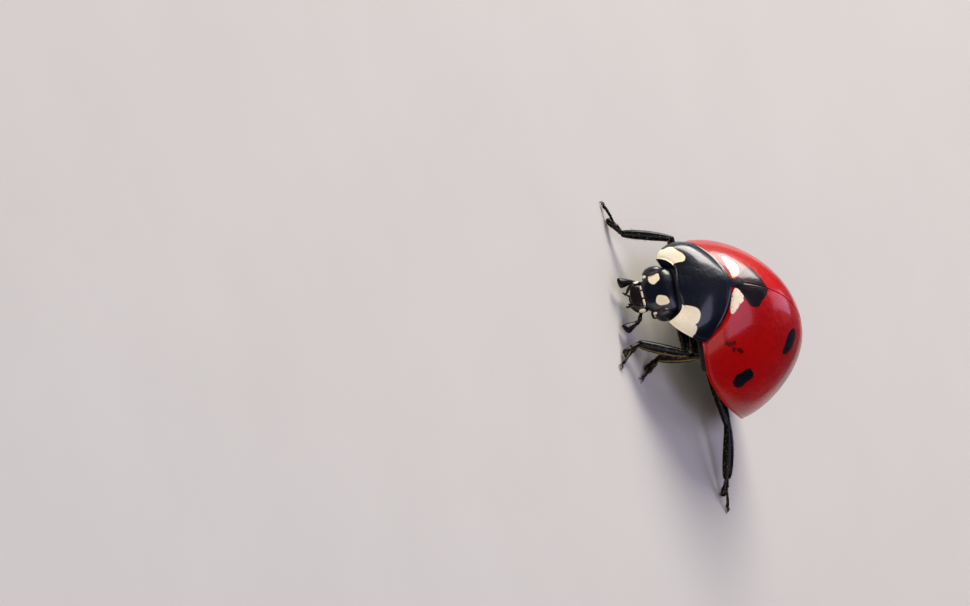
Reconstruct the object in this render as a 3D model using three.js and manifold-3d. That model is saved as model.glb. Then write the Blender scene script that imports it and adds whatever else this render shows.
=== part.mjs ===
// Seven-spot ladybird (Coccinella septempunctata), life size, standing on a floor.
// Millimetres, +Z up. The head looks toward -Y, the beetle's left side is +X, and
// its feet stand on z = 0. Each plate of the body and each leg segment is one solid.
import * as THREE from 'three';
import { mergeVertices } from 'three/addons/utils/BufferGeometryUtils.js';
import Module from 'manifold-3d';

const wasm = await Module();
wasm.setup();

const { cos, sin, abs, sign, min, max, PI, sqrt } = Math;
const vec = (x, y, z) => new THREE.Vector3(x, y, z);
const deg = THREE.MathUtils.degToRad;

// ---- Driving dimensions -------------------------------------------------------------

// Where the trunk stands: its own frame has y = 0 at the scutellum and +Y to the rear.
const NOSE_UP = deg(6);
const TRUNK_LIFT = 0.597;
const FOOTPRINT_SHIFT = vec(-0.93, -2.2, 0);

// Elytra: the plan outline and the crest are superellipses about their widest places.
// The right shoulder stands free and full, and the left one is tucked up behind the
// corner of the turned prothorax.
const HALF_WIDTH = 2.85;
const PLAN = {
  middle: 2.61,
  left: { length: 3.0, power: 2.25 },
  right: { length: 3.6, power: 1.9 },
  rear: { length: 3.4, power: 1.887 },
};
const CREST = { height: 2.71, middle: 2.577, front: 2.873, rear: 3.433, power: [2, 2.232] };
const CREST_FOOT = { height: 1.332, slope: -0.108 };
const MARGIN = {
  height: 1.1,
  rearDrop: { by: 0.34, from: 3.2, to: 5.6 },
  leftLift: { by: 0.3, from: -0.2, to: 1.3 },
};
const ARCH = { power: 1.5, rounding: 0.25, outer: 1.6 };
const SHELL_SCALE = 0.84;
const SUTURE_GAP = 0.024;
const CLEARANCE = 0.025;
const PRONOTUM_SEAM = 0.09;
const SIMPLIFIED_WITHIN = 0.014;

// Prothorax and head are flexed down and a little to the left on the trunk.
const PROTHORAX = { pivot: vec(0, 0.3, 1.7), yaw: deg(11), pitch: deg(20), roll: deg(-3) };
const HEAD = { pivot: vec(0, -1.2, 1.35), yaw: deg(4), pitch: deg(12), roll: 0 };

// ---- Solids -------------------------------------------------------------------------

// Closed solid through rings of the same number of points, with a point at each end.
function loft(rings) {
  const sides = rings[0].length;
  const positions = [];
  const faces = [];
  for (const ring of rings) {
    for (const p of ring) positions.push(p.x, p.y, p.z);
  }
  for (let r = 0; r < rings.length - 1; r++) {
    for (let i = 0; i < sides; i++) {
      const a = r * sides + i;
      const b = r * sides + (i + 1) % sides;
      faces.push(a, b, b + sides, a, b + sides, a + sides);
    }
  }
  const lastStart = (rings.length - 1) * sides;
  for (const [ring, start, flip] of [[rings[0], 0, true], [rings.at(-1), lastStart, false]]) {
    const middle = ring.reduce((sum, p) => sum.add(p), vec(0, 0, 0)).divideScalar(sides);
    const centre = positions.length / 3;
    positions.push(middle.x, middle.y, middle.z);
    for (let i = 0; i < sides; i++) {
      const a = start + i;
      const b = start + (i + 1) % sides;
      faces.push(...(flip ? [centre, b, a] : [centre, a, b]));
    }
  }
  return facingOut(positions, faces);
}

// Closed plate between an outer and an inner grid of rows and columns of points.
function plate(outer, inner) {
  const rows = outer.length;
  const columns = outer[0].length;
  const positions = [];
  const faces = [];
  for (const grid of [outer, inner]) {
    for (const row of grid) {
      for (const p of row) positions.push(p.x, p.y, p.z);
    }
  }
  const top = (r, c) => r * columns + c;
  const under = (r, c) => rows * columns + r * columns + c;
  const quad = (a, b, c, d) => faces.push(a, b, c, a, c, d);
  for (let r = 0; r < rows - 1; r++) {
    for (let c = 0; c < columns - 1; c++) {
      quad(top(r, c), top(r, c + 1), top(r + 1, c + 1), top(r + 1, c));
      quad(under(r, c), under(r + 1, c), under(r + 1, c + 1), under(r, c + 1));
    }
    quad(top(r, 0), top(r + 1, 0), under(r + 1, 0), under(r, 0));
    quad(top(r, columns - 1), under(r, columns - 1), under(r + 1, columns - 1), top(r + 1, columns - 1));
  }
  for (let c = 0; c < columns - 1; c++) {
    quad(top(0, c), under(0, c), under(0, c + 1), top(0, c + 1));
    quad(top(rows - 1, c), top(rows - 1, c + 1), under(rows - 1, c + 1), under(rows - 1, c));
  }
  return facingOut(positions, faces);
}

// Indexed geometry whose faces are turned outward by the sign of its volume.
function facingOut(positions, faces) {
  let volume = 0;
  const at = (i) => vec(positions[3 * i], positions[3 * i + 1], positions[3 * i + 2]);
  for (let f = 0; f < faces.length; f += 3) {
    volume += at(faces[f]).dot(at(faces[f + 1]).cross(at(faces[f + 2])));
  }
  if (volume < 0) faces.reverse();
  const geometry = new THREE.BufferGeometry();
  geometry.setAttribute('position', new THREE.Float32BufferAttribute(positions, 3));
  geometry.setIndex(faces);
  return geometry;
}

// Ellipsoid with its axes along x, y and z, then tipped about x.
function ellipsoid(centre, radii, tip = 0, around = 16, along = 10) {
  const geometry = new THREE.SphereGeometry(1, around, along);
  geometry.scale(radii.x, radii.y, radii.z);
  geometry.rotateX(tip);
  geometry.translate(centre.x, centre.y, centre.z);
  return merged(geometry);
}

// Tube through given places: each place has a point, a half width and a half depth.
function limb(places, sides = 7) {
  const rings = places.map(({ at, wide, deep }, i) => {
    const before = places[max(i - 1, 0)].at;
    const after = places[min(i + 1, places.length - 1)].at;
    const along = after.clone().sub(before).normalize();
    const across = vec(0, 0, 1).cross(along).normalize();
    const up = along.clone().cross(across);
    return Array.from({ length: sides }, (_, k) => {
      const turn = (2 * PI * (k + 0.5)) / sides;
      return at.clone()
        .addScaledVector(across, wide * cos(turn))
        .addScaledVector(up, deep * sin(turn));
    });
  });
  return loft(rings);
}

function merged(geometry) {
  geometry.deleteAttribute('normal');
  geometry.deleteAttribute('uv');
  return mergeVertices(geometry, 1e-5);
}

// Geometry with every point moved out along its normal.
function grown(geometry, distance) {
  const copy = merged(geometry.clone());
  copy.computeVertexNormals();
  const position = copy.attributes.position;
  const normal = copy.attributes.normal;
  for (let i = 0; i < position.count; i++) {
    position.setXYZ(
      i,
      position.getX(i) + distance * normal.getX(i),
      position.getY(i) + distance * normal.getY(i),
      position.getZ(i) + distance * normal.getZ(i),
    );
  }
  copy.deleteAttribute('normal');
  return copy;
}

function toSolid(geometry) {
  const mesh = geometry.index ? geometry : merged(geometry);
  return new wasm.Manifold(new wasm.Mesh({
    numProp: 3,
    vertProperties: new Float32Array(mesh.attributes.position.array),
    triVerts: new Uint32Array(mesh.index.array),
  }));
}

function toGeometry(solid) {
  const mesh = solid.getMesh();
  const geometry = new THREE.BufferGeometry();
  geometry.setAttribute('position', new THREE.BufferAttribute(mesh.vertProperties, 3));
  geometry.setIndex(new THREE.BufferAttribute(mesh.triVerts, 1));
  return geometry;
}

// ---- The assembled animal -----------------------------------------------------------

const ladybird = new THREE.Group();
ladybird.position.copy(FOOTPRINT_SHIFT);
const trunk = new THREE.Group();
trunk.rotation.x = -NOSE_UP;
trunk.position.z = TRUNK_LIFT;
ladybird.add(trunk);
const prothorax = hinged(trunk, PROTHORAX);
const headGroup = hinged(prothorax, HEAD);

// Group whose contents keep the parent's coordinates but are turned about a pivot.
function hinged(parent, { pivot, yaw, pitch, roll }) {
  const turn = new THREE.Group();
  turn.position.copy(pivot);
  turn.rotation.set(pitch, roll, yaw, 'ZXY');
  const inside = new THREE.Group();
  inside.position.copy(pivot).negate();
  turn.add(inside);
  parent.add(turn);
  return inside;
}

const materials = {
  black: new THREE.MeshStandardMaterial({ color: '#101014', roughness: 0.28, metalness: 0 }),
  red: new THREE.MeshStandardMaterial({ color: '#b3120a', roughness: 0.2, metalness: 0 }),
  eye: new THREE.MeshStandardMaterial({ color: '#1c1612', roughness: 0.3, metalness: 0 }),
  brown: new THREE.MeshStandardMaterial({ color: '#241510', roughness: 0.35, metalness: 0 }),
};

const pieces = {};
function add(parent, name, geometry, material) {
  const mesh = new THREE.Mesh(geometry, material);
  mesh.name = name;
  parent.add(mesh);
  pieces[name] = mesh;
  return mesh;
}

// Cuts a piece where its neighbours, grown by the clearance, stand in it.
function cut(name, neighbours, clearance = CLEARANCE) {
  const mesh = pieces[name];
  const toMesh = mesh.matrixWorld.clone().invert();
  let solid = toSolid(mesh.geometry);
  for (const neighbour of neighbours) {
    const other = pieces[neighbour];
    const tool = grown(other.geometry, clearance);
    tool.applyMatrix4(toMesh.clone().multiply(other.matrixWorld));
    solid = solid.subtract(toSolid(tool));
  }
  mesh.geometry = toGeometry(largestBody(solid));
}

// A cut can leave loose crumbs: only the main body is kept.
function largestBody(solid) {
  const bodies = solid.simplify(SIMPLIFIED_WITHIN).decompose();
  return bodies.sort((a, b) => b.volume() - a.volume())[0];
}

// ---- Elytra -------------------------------------------------------------------------

function superellipse(t, power) {
  return max(0, 1 - abs(t) ** power) ** (1 / power);
}

const sideOf = (x) => (x < 0 ? 'right' : 'left');

function planHalfWidth(y, side) {
  const { length, power } = PLAN[y < PLAN.middle ? side : 'rear'];
  return HALF_WIDTH * superellipse((y - PLAN.middle) / length, power);
}

function marginHeight(y, side) {
  const share = ({ by, from, to }) => by * THREE.MathUtils.smoothstep(y, from, to);
  const lift = side === 'left' ? MARGIN.leftLift.by - share(MARGIN.leftLift) : 0;
  return MARGIN.height + lift - share(MARGIN.rearDrop);
}

// Height of the suture over the margin.
function crestHeight(y, side) {
  const before = y < CREST.middle;
  const t = (y - CREST.middle) / (before ? CREST.front : CREST.rear);
  const rise = CREST.height * superellipse(t, CREST.power[before ? 0 : 1]);
  return CREST_FOOT.height + CREST_FOOT.slope * y + rise - marginHeight(y, side);
}

// Height of the cross-section over the margin, from 1 at the suture to 0 at the side.
function archHeight(u) {
  const { power, rounding, outer } = ARCH;
  const base = rounding ** power;
  const fall = ((u * u + rounding * rounding) ** (power / 2) - base)
    / ((1 + rounding * rounding) ** (power / 2) - base);
  return max(0, 1 - fall) ** (1 / outer);
}

function domePoint(y, turn) {
  const u = sin(turn);
  const side = sideOf(u);
  const z = marginHeight(y, side) + crestHeight(y, side) * archHeight(abs(u));
  return vec(u * planHalfWidth(y, side), y, z);
}

function shrunkToward(centre, scale) {
  return (p) => p.clone().sub(centre).multiplyScalar(scale).add(centre);
}

const ELYTRON_FRONT = -0.25;
const ELYTRON_END = 6.005;
const ELYTRON_ROWS = 16;
const ELYTRON_COLUMNS = 9;
const shellCentre = vec(0, 2.86, MARGIN.height);
const shrinkShell = shrunkToward(shellCentre, SHELL_SCALE);

// The last row comes down to the margin and closes the tip.
function elytron(side) {
  const outward = side === 'left' ? 1 : -1;
  const outer = [];
  const inner = [];
  for (let r = 0; r <= ELYTRON_ROWS; r++) {
    const middle = (ELYTRON_FRONT + ELYTRON_END) / 2;
    const y = middle - ((ELYTRON_END - ELYTRON_FRONT) / 2) * cos((PI * r) / ELYTRON_ROWS);
    const row = [];
    for (let c = 0; c <= ELYTRON_COLUMNS; c++) {
      row.push(domePoint(y, (outward * PI * c) / (2 * ELYTRON_COLUMNS)));
    }
    if (r === ELYTRON_ROWS) row.forEach((p) => p.setZ(marginHeight(y, side)));
    outer.push(row);
    inner.push(row.map(shrinkShell));
  }
  const place = (p) => vec(p.x + outward * (SUTURE_GAP / 2), p.y, p.z);
  return plate(outer.map((row) => row.map(place)), inner.map((row) => row.map(place)));
}

add(trunk, 'elytron_left', elytron('left'), materials.red);
add(trunk, 'elytron_right', elytron('right'), materials.red);

// ---- Scutellum ----------------------------------------------------------------------

const SCUTELLUM = { halfWidth: 0.28, length: 0.42, thickness: 0.3, front: -0.14, proud: 0.03 };

function domeHeight(x, y) {
  const side = sideOf(x);
  const across = min(1, abs(x) / planHalfWidth(y, side));
  return marginHeight(y, side) + crestHeight(y, side) * archHeight(across);
}

// Small triangle in the notch of the elytra, pointing to the rear.
function scutellum() {
  const { halfWidth, length, thickness, front, proud } = SCUTELLUM;
  const outline = [-1, -0.66, -0.33, 0, 0.33, 0.66, 1]
    .map((u) => [u * halfWidth, front + length * (1 - abs(u))]);
  outline.push([0, front]);
  const ring = (drop) => outline.map(([x, y]) => vec(x, y, domeHeight(x, y) + proud - drop));
  return loft([ring(thickness), ring(0)]);
}

add(trunk, 'scutellum', scutellum(), materials.black);

// ---- Underside: hind thorax and abdomen ---------------------------------------------

const BELLY_SCALE = 0.825;
const BELLY = { depth: 0.5, power: 2.4, fadeFrom: 2.2, fadeLength: 3.9 };
const THORAX_STATIONS = [-0.05, 0.25, 0.7, 1.2, 1.8];
const THORAX_END = 2.35;
const SEGMENT_ENDS = [3.15, 3.75, 4.25, 4.7, 5.1];
const ABDOMEN_GAP = 0.03;
const ABDOMEN_TIP = [5.45, 5.75, 5.93];
const GROOVE = { depth: 0.05, half: 0.05 };
const BODY_SIDES = 18;
const shrinkBelly = shrunkToward(shellCentre, BELLY_SCALE);

function bellyDepth(y) {
  const { depth, fadeFrom, fadeLength } = BELLY;
  const fade = sqrt(max(0, 1 - (max(0, y - fadeFrom) / fadeLength) ** 2));
  return depth * min(1, 0.55 + 0.45 * (y + 0.5)) * fade;
}

function trunkRing(y, inset = 0) {
  return Array.from({ length: BODY_SIDES }, (_, k) => {
    const turn = (2 * PI * k) / BODY_SIDES;
    if (cos(turn) > -1e-9) return shrinkBelly(domePoint(y, turn));
    const edge = shrinkBelly(domePoint(y, PI / 2));
    const u = sin(turn);
    const depth = (bellyDepth(y) - inset) * superellipse(u, BELLY.power);
    return vec(u * edge.x, edge.y, edge.z - depth);
  });
}

function thorax() {
  return loft([...THORAX_STATIONS, THORAX_END].map((y) => trunkRing(y)));
}

function abdomen() {
  const rings = [trunkRing(THORAX_END + ABDOMEN_GAP)];
  for (const y of SEGMENT_ENDS) {
    rings.push(trunkRing(y - GROOVE.half), trunkRing(y, GROOVE.depth), trunkRing(y + GROOVE.half));
  }
  for (const y of ABDOMEN_TIP) rings.push(trunkRing(y));
  return loft(rings);
}

add(trunk, 'thorax', thorax(), materials.black);
add(trunk, 'abdomen', abdomen(), materials.black);

// ---- Pronotum and prosternum --------------------------------------------------------

const PRONOTUM = {
  front: { halfWidth: 1.1, y: -1.44, z: 1.21 },
  hind: { halfWidth: 1.75, y: -0.28, z: 1.56 },
  midFront: { y: -1.32, z: 1.72 },
  midHind: { y: 0.26, z: 2.67 },
  bulge: 0.15,
  emargination: 0.17,
  arch: { front: 3.7, hind: 1.46, outer: 0.64 },
  bow: { front: 2.5, hind: 2.05 },
};
const PRONOTUM_SCALE = 0.76;
const PRONOTUM_CENTRE = vec(0, -0.5, 1.15);
const lerp = THREE.MathUtils.lerp;

// Point of the pronotum: u runs from side to side, v from front to rear.
function pronotumPoint(u, v) {
  const { front, hind, midFront, midHind, bulge, emargination, arch, bow } = PRONOTUM;
  const across = abs(u);
  const rise = sqrt(sin((v * PI) / 2));
  const halfWidth = lerp(front.halfWidth, hind.halfWidth, rise);
  const midZ = lerp(midFront.z, midHind.z, v) + bulge * sin(PI * v);
  const height = max(0, 1 - across ** lerp(arch.front, arch.hind, sqrt(v))) ** arch.outer;
  const toSide = across ** lerp(bow.front, bow.hind, v);
  const notch = emargination * (1 - v) ** 2 * sin(PI * across ** 1.65);
  return vec(
    u * halfWidth,
    lerp(lerp(midFront.y, midHind.y, v), lerp(front.y, hind.y, v), toSide) + notch,
    lerp(lerp(front.z, hind.z, rise), midZ, height),
  );
}

function pronotum() {
  const rows = 7;
  const columns = 14;
  const shrink = shrunkToward(PRONOTUM_CENTRE, PRONOTUM_SCALE);
  const outer = Array.from({ length: rows + 1 }, (_, r) => (
    Array.from({ length: columns + 1 }, (_, c) => {
      const u = sin(((c / columns) - 0.5) * PI);
      return pronotumPoint(u, (r / rows) ** 1.6);
    })
  ));
  return plate(outer, outer.map((row) => row.map(shrink)));
}

add(prothorax, 'pronotum', pronotum(), materials.black);
const PROSTERNUM = { centre: vec(0, -0.45, 1.35), radii: vec(1.35, 0.85, 0.72), tip: deg(28) };
const prosternum = ellipsoid(PROSTERNUM.centre, PROSTERNUM.radii, PROSTERNUM.tip, 12, 7);
add(prothorax, 'prosternum', prosternum, materials.black);

// ---- Head ---------------------------------------------------------------------------

const FACE_TIP = deg(45);
const FACE = { centre: vec(0, -1.349, 1.049), radii: vec(0.86, 0.68, 0.44) };
const EYE = { centre: vec(0.7, -1.36, 1.13), radii: vec(0.25, 0.36, 0.34) };

// Stations of a flat mouth plate: y and z of its front face, and its half width.
const CLYPEUS = [[-1.72, 1.2, 0.66], [-1.88, 1.08, 0.6], [-2.05, 0.93, 0.42]];
const LABRUM = [[-2.07, 0.91, 0.4], [-2.22, 0.84, 0.4], [-2.34, 0.77, 0.3], [-2.4, 0.72, 0.12]];
const CLYPEUS_THICKNESS = 0.4;
const LABRUM_THICKNESS = 0.3;
const LABIUM = { centre: vec(0, -1.93, 0.52), radii: vec(0.34, 0.34, 0.2), tip: deg(-20) };

function mouthPlate(stations, thickness) {
  const behind = vec(0, sin(FACE_TIP), -cos(FACE_TIP)).multiplyScalar(thickness);
  return loft(stations.map(([y, z, halfWidth]) => (
    [[-1, 0.25], [-0.75, 0], [0.75, 0], [1, 0.25], [1, 0.75], [0.75, 1], [-0.75, 1], [-1, 0.75]]
      .map(([u, depth]) => vec(u * halfWidth, y, z).addScaledVector(behind, depth))
  )));
}

const capsule = toSolid(ellipsoid(FACE.centre, FACE.radii, FACE_TIP, 18, 10));
const clypeus = toSolid(mouthPlate(CLYPEUS, CLYPEUS_THICKNESS));
add(headGroup, 'head', toGeometry(capsule.add(clypeus)), materials.black);
add(headGroup, 'labrum', mouthPlate(LABRUM, LABRUM_THICKNESS), materials.brown);
add(headGroup, 'labium', ellipsoid(LABIUM.centre, LABIUM.radii, LABIUM.tip, 8, 6), materials.brown);

const place = (x, y, z, wide, deep = wide) => ({ at: vec(x, y, z), wide, deep });

const MANDIBLE = [
  place(0.46, -1.86, 0.74, 0.12, 0.2),
  place(0.5, -2.06, 0.7, 0.14, 0.2),
  place(0.38, -2.26, 0.62, 0.13, 0.15),
  place(0.16, -2.38, 0.55, 0.08, 0.08),
];
const PALPS = {
  left: [
    place(0.5, -1.98, 0.4, 0.16),
    place(0.8, -2.16, 0.52, 0.2),
    place(0.92, -2.42, 0.66, 0.2),
    place(1.0, -2.62, 0.7, 0.2, 0.25),
    place(1.08, -2.88, 0.7, 0.12, 0.16),
  ],
  right: [
    place(-0.5, -1.98, 0.4, 0.16),
    place(-0.66, -2.2, 0.56, 0.2),
    place(-0.6, -2.42, 0.74, 0.2),
    place(-0.54, -2.62, 0.79, 0.2, 0.25),
    place(-0.5, -2.86, 0.79, 0.12, 0.16),
  ],
};
const ANTENNA = [
  place(0.56, -1.78, 0.9, 0.2),
  place(0.66, -1.6, 0.66, 0.2),
  place(0.6, -1.32, 0.46, 0.2),
  place(0.48, -1.06, 0.36, 0.25),
  place(0.38, -0.88, 0.34, 0.18),
];

// Mirror image of a piece in the animal's middle plane.
function mirrored(geometry) {
  const copy = geometry.clone().scale(-1, 1, 1);
  copy.index.array.reverse();
  return copy;
}

for (const side of ['left', 'right']) {
  const turned = (geometry) => (side === 'left' ? geometry : mirrored(geometry));
  add(headGroup, `eye_${side}`, turned(ellipsoid(EYE.centre, EYE.radii, FACE_TIP, 12, 7)), materials.eye);
  add(headGroup, `mandible_${side}`, turned(limb(MANDIBLE)), materials.brown);
  add(headGroup, `palp_${side}`, limb(PALPS[side]), materials.black);
  add(headGroup, `antenna_${side}`, turned(limb(ANTENNA)), materials.brown);
}

// ---- Legs ---------------------------------------------------------------------------

// Joints of each leg over the floor: hip, knee, end of tibia, last tarsal joint and claws.
const LEGS = {
  front_right: [[-0.35, -0.23, 1.3], [-1.71, -0.66, 1.63], [-1.86, -1.69, 0.4], [-2.33, -2.0], [-2.81, -2.19]],
  front_left: [[0.63, -0.05, 1.33], [2.29, -0.17, 1.54], [2.12, -1.36, 0.47], [2.54, -1.69], [3.02, -1.9]],
  middle_right: [[-0.72, 0.9, 1.1], [-2.2, 1.72, 1.3], [-2.75, 2.8, 0.38], [-3.0, 3.38], [-3.2, 3.85]],
  middle_left: [[0.72, 0.9, 1.1], [2.14, 0.45, 1.6], [1.92, 0.12, 0.4], [2.45, -0.22], [2.87, -0.52]],
  hind_right: [[-1.2, 2.5, 0.9], [-2.6, 3.85, 0.95], [-3.1, 5.55, 0.4], [-3.25, 6.15], [-3.4, 6.62]],
  hind_left: [[1.2, 2.5, 0.9], [2.9, 3.67, 0.9], [4.5, 4.25, 0.42], [4.87, 4.53], [5.22, 4.8]],
};
const COXA = {
  radii: { front: vec(0.36, 0.28, 0.34), middle: vec(0.36, 0.32, 0.3), hind: vec(0.52, 0.28, 0.3) },
  inboard: 0.12,
  above: 0.05,
};

// Stations of a leg segment: share of its length and radius there.
const THIGH = [[0, 0.18], [0.15, 0.25], [0.5, 0.28], [0.85, 0.24], [1.04, 0.16]];
const SHIN = [[-0.02, 0.14], [0.1, 0.2], [0.55, 0.25], [0.92, 0.25], [1, 0.2]];
const TARSUS = { ankleRadius: 0.2, jointRadius: 0.24, clawRadius: 0.13, jointHeight: 0.2, clawHeight: 0.1 };
const TARSUS_NECK = { share: 0.6, radius: 0.17 };
const TARSUS_SWELLS_AT = 0.55;

const round = (at, radius) => ({ at, wide: radius, deep: radius });

function segment(from, to, profile) {
  return limb(profile.map(([t, radius]) => round(from.clone().lerp(to, t), radius)));
}

// Foot whose underside is pressed flat on the floor.
function tarsus(ankle, joint, claw) {
  const { ankleRadius, jointRadius, clawRadius, jointHeight, clawHeight } = TARSUS;
  const jointAt = vec(joint.x, joint.y, jointHeight);
  const clawAt = vec(claw.x, claw.y, clawHeight);
  const foot = limb([
    round(ankle, ankleRadius),
    round(ankle.clone().lerp(jointAt, TARSUS_SWELLS_AT), jointRadius),
    round(jointAt, jointRadius),
    round(jointAt.clone().lerp(clawAt, TARSUS_NECK.share), TARSUS_NECK.radius),
    round(clawAt, clawRadius),
  ]);
  const position = foot.attributes.position;
  for (let i = 0; i < position.count; i++) position.setZ(i, max(0, position.getZ(i)));
  return foot;
}

for (const [leg, joints] of Object.entries(LEGS)) {
  const [hip, knee, ankle, joint, claw] = joints.map(([x, y, z = 0]) => vec(x, y, z));
  const coxaAt = hip.clone().add(vec(-COXA.inboard * sign(hip.x), 0, COXA.above));
  const coxa = ellipsoid(coxaAt, COXA.radii[leg.split('_')[0]], 0, 9, 6);
  add(ladybird, `${leg}_coxa`, coxa, materials.black);
  add(ladybird, `${leg}_femur`, segment(hip, knee, THIGH), materials.black);
  add(ladybird, `${leg}_tibia`, segment(knee, ankle, SHIN), materials.black);
  add(ladybird, `${leg}_tarsus`, tarsus(ankle, joint, claw), materials.black);
}

// ---- Joints between neighbours ------------------------------------------------------

ladybird.updateMatrixWorld(true);
const TRUNK_PLATES = ['thorax', 'abdomen', 'prosternum', 'elytron_left', 'elytron_right', 'pronotum'];
const coxae = Object.keys(LEGS).map((leg) => `${leg}_coxa`);

cut('head', ['eye_left', 'eye_right', 'pronotum']);
cut('eye_left', ['pronotum']);
cut('eye_right', ['pronotum']);
cut('labrum', ['head']);
cut('labium', ['head', 'labrum']);
cut('prosternum', ['pronotum', 'head', 'eye_left', 'eye_right', 'front_left_coxa', 'front_right_coxa']);
cut('scutellum', ['pronotum']);
cut('thorax', ['pronotum', 'prosternum', ...coxae]);
cut('abdomen', ['hind_left_coxa', 'hind_right_coxa']);
for (const side of ['left', 'right']) {
  cut(`elytron_${side}`, ['pronotum'], PRONOTUM_SEAM);
  cut(`elytron_${side}`, ['scutellum', 'prosternum']);
  cut(`mandible_${side}`, ['head', 'labrum', 'labium']);
  cut(`palp_${side}`, ['head', 'labrum', 'labium', `mandible_${side}`]);
  cut(`antenna_${side}`, ['head', `eye_${side}`, 'prosternum', `palp_${side}`, 'pronotum', 'labium']);
}
for (const leg of Object.keys(LEGS)) {
  cut(`${leg}_femur`, [`${leg}_coxa`, ...TRUNK_PLATES]);
  cut(`${leg}_tibia`, [`${leg}_femur`]);
  cut(`${leg}_tarsus`, [`${leg}_tibia`]);
}

export default ladybird;
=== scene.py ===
# A seven-spot ladybird, life size, as a still museum model that stands on a plain floor.
# Sizes are in millimetres in each part's own frame, and become metres when a piece is made.
from math import cos, pi, radians, sin

import bmesh
import bpy
import numpy as np
from mathutils import Matrix, Vector
from mathutils.kdtree import KDTree


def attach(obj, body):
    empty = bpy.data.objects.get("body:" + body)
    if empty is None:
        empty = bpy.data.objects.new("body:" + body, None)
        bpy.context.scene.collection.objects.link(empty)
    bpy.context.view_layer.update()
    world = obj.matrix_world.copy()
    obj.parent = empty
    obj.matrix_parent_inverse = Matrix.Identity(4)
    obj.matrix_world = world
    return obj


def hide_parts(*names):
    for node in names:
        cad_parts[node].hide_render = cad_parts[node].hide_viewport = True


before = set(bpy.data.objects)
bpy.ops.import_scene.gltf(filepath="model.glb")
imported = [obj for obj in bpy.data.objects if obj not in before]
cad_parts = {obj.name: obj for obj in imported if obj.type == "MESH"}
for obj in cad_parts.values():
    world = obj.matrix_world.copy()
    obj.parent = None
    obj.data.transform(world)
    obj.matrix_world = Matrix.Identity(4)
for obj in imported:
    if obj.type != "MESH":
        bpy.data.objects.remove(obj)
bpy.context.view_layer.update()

# ---- Hind thorax and abdomen ---------------------------------------------------------
# The trunk under the wing cases: hard black plates of tanned chitin. The thorax is one
# box with a groove along its middle, and the abdomen is six rings, each of which slips
# a little over the next. All of it hangs inside the domed outline of the wing cases.

MM = 0.001
NOSE_UP = radians(6)
TRUNK_LIFT = 0.597
FOOTPRINT_SHIFT = Vector((-0.93, -2.2, 0))
floor_frame = Matrix.Translation(FOOTPRINT_SHIFT)
trunk_frame = Matrix.Translation((*FOOTPRINT_SHIFT.xy, TRUNK_LIFT)) @ Matrix.Rotation(-NOSE_UP, 4, "X")

HALF_WIDTH = 2.85
PLAN_MIDDLE = 2.61
PLAN_FRONT = {"left": (3.0, 2.25), "right": (3.6, 1.9)}
PLAN_REAR = (3.4, 1.887)
CREST_MIDDLE, CREST_HEIGHT = 2.577, 2.71
CREST_FRONT, CREST_REAR = (2.873, 2.0), (3.433, 2.232)
CREST_FOOT, CREST_SLOPE = 1.332, -0.108
MARGIN_HEIGHT = 1.1
REAR_DROP = (0.34, 3.2, 5.6)
LEFT_LIFT = (0.3, -0.2, 1.3)
ARCH_POWER, ARCH_ROUNDING, ARCH_OUTER = 1.5, 0.25, 1.6
SHELL_CENTRE = np.array((0, 2.86, MARGIN_HEIGHT))


def superellipse(t, power):
    return np.maximum(0, 1 - np.abs(t) ** power) ** (1 / power)


def smoothstep(t, low, high):
    t = np.clip((t - low) / (high - low), 0, 1)
    return t * t * (3 - 2 * t)


def plan_half_width(y, left):
    """Half width of the wing cases at y; the left shoulder is drawn in, the right one is full."""
    front = [superellipse((y - PLAN_MIDDLE) / length, power) for length, power in PLAN_FRONT.values()]
    rear = superellipse((y - PLAN_MIDDLE) / PLAN_REAR[0], PLAN_REAR[1])
    return HALF_WIDTH * np.where(y < PLAN_MIDDLE, np.where(left, *front), rear)


def margin_height(y, left):
    lift, low, high = LEFT_LIFT
    drop, start, end = REAR_DROP
    lift = np.where(left, lift * (1 - smoothstep(y, low, high)), 0)
    return MARGIN_HEIGHT + lift - drop * smoothstep(y, start, end)


def crest_height(y, left):
    ends = (CREST_FRONT, CREST_REAR)
    front, rear = (superellipse((y - CREST_MIDDLE) / length, power) for length, power in ends)
    top = CREST_FOOT + CREST_SLOPE * y + CREST_HEIGHT * np.where(y < CREST_MIDDLE, front, rear)
    return np.maximum(top - margin_height(y, left), 0)


def arch_height(u):
    base = ARCH_ROUNDING**ARCH_POWER
    fall = (u * u + ARCH_ROUNDING**2) ** (ARCH_POWER / 2) - base
    full = (1 + ARCH_ROUNDING**2) ** (ARCH_POWER / 2) - base
    return np.maximum(0, 1 - fall / full) ** (1 / ARCH_OUTER)


def dome(y, turn):
    """Outer face of the wing cases: turn is 0 at the suture and pi/2 at the left margin."""
    y, turn = np.broadcast_arrays(np.asarray(y, float), np.asarray(turn, float))
    u = np.sin(turn)
    left = u >= 0
    z = margin_height(y, left) + crest_height(y, left) * arch_height(np.abs(u))
    return np.stack([u * plan_half_width(y, left), y, z], -1)


def grid_faces(rows, columns, around=False):
    """Quads of a grid of points, joined from the last column to the first if asked."""
    steps = columns if around else columns - 1
    row, column = np.meshgrid(np.arange(rows - 1), np.arange(steps), indexing="ij")
    after = (column + 1) % columns
    quads = [row * columns + column, row * columns + after]
    quads += [(row + 1) * columns + after, (row + 1) * columns + column]
    return np.stack(quads, -1).reshape(-1, 4).tolist()


def rings_shape(rings):
    """Closed body through rings of points, with its two ends capped."""
    rings = np.asarray(rings)
    rows, columns = rings.shape[:2]
    faces = grid_faces(rows, columns, around=True)
    faces += [list(range(columns))[::-1], list(range((rows - 1) * columns, rows * columns))]
    return rings.reshape(-1, 3), faces


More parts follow.
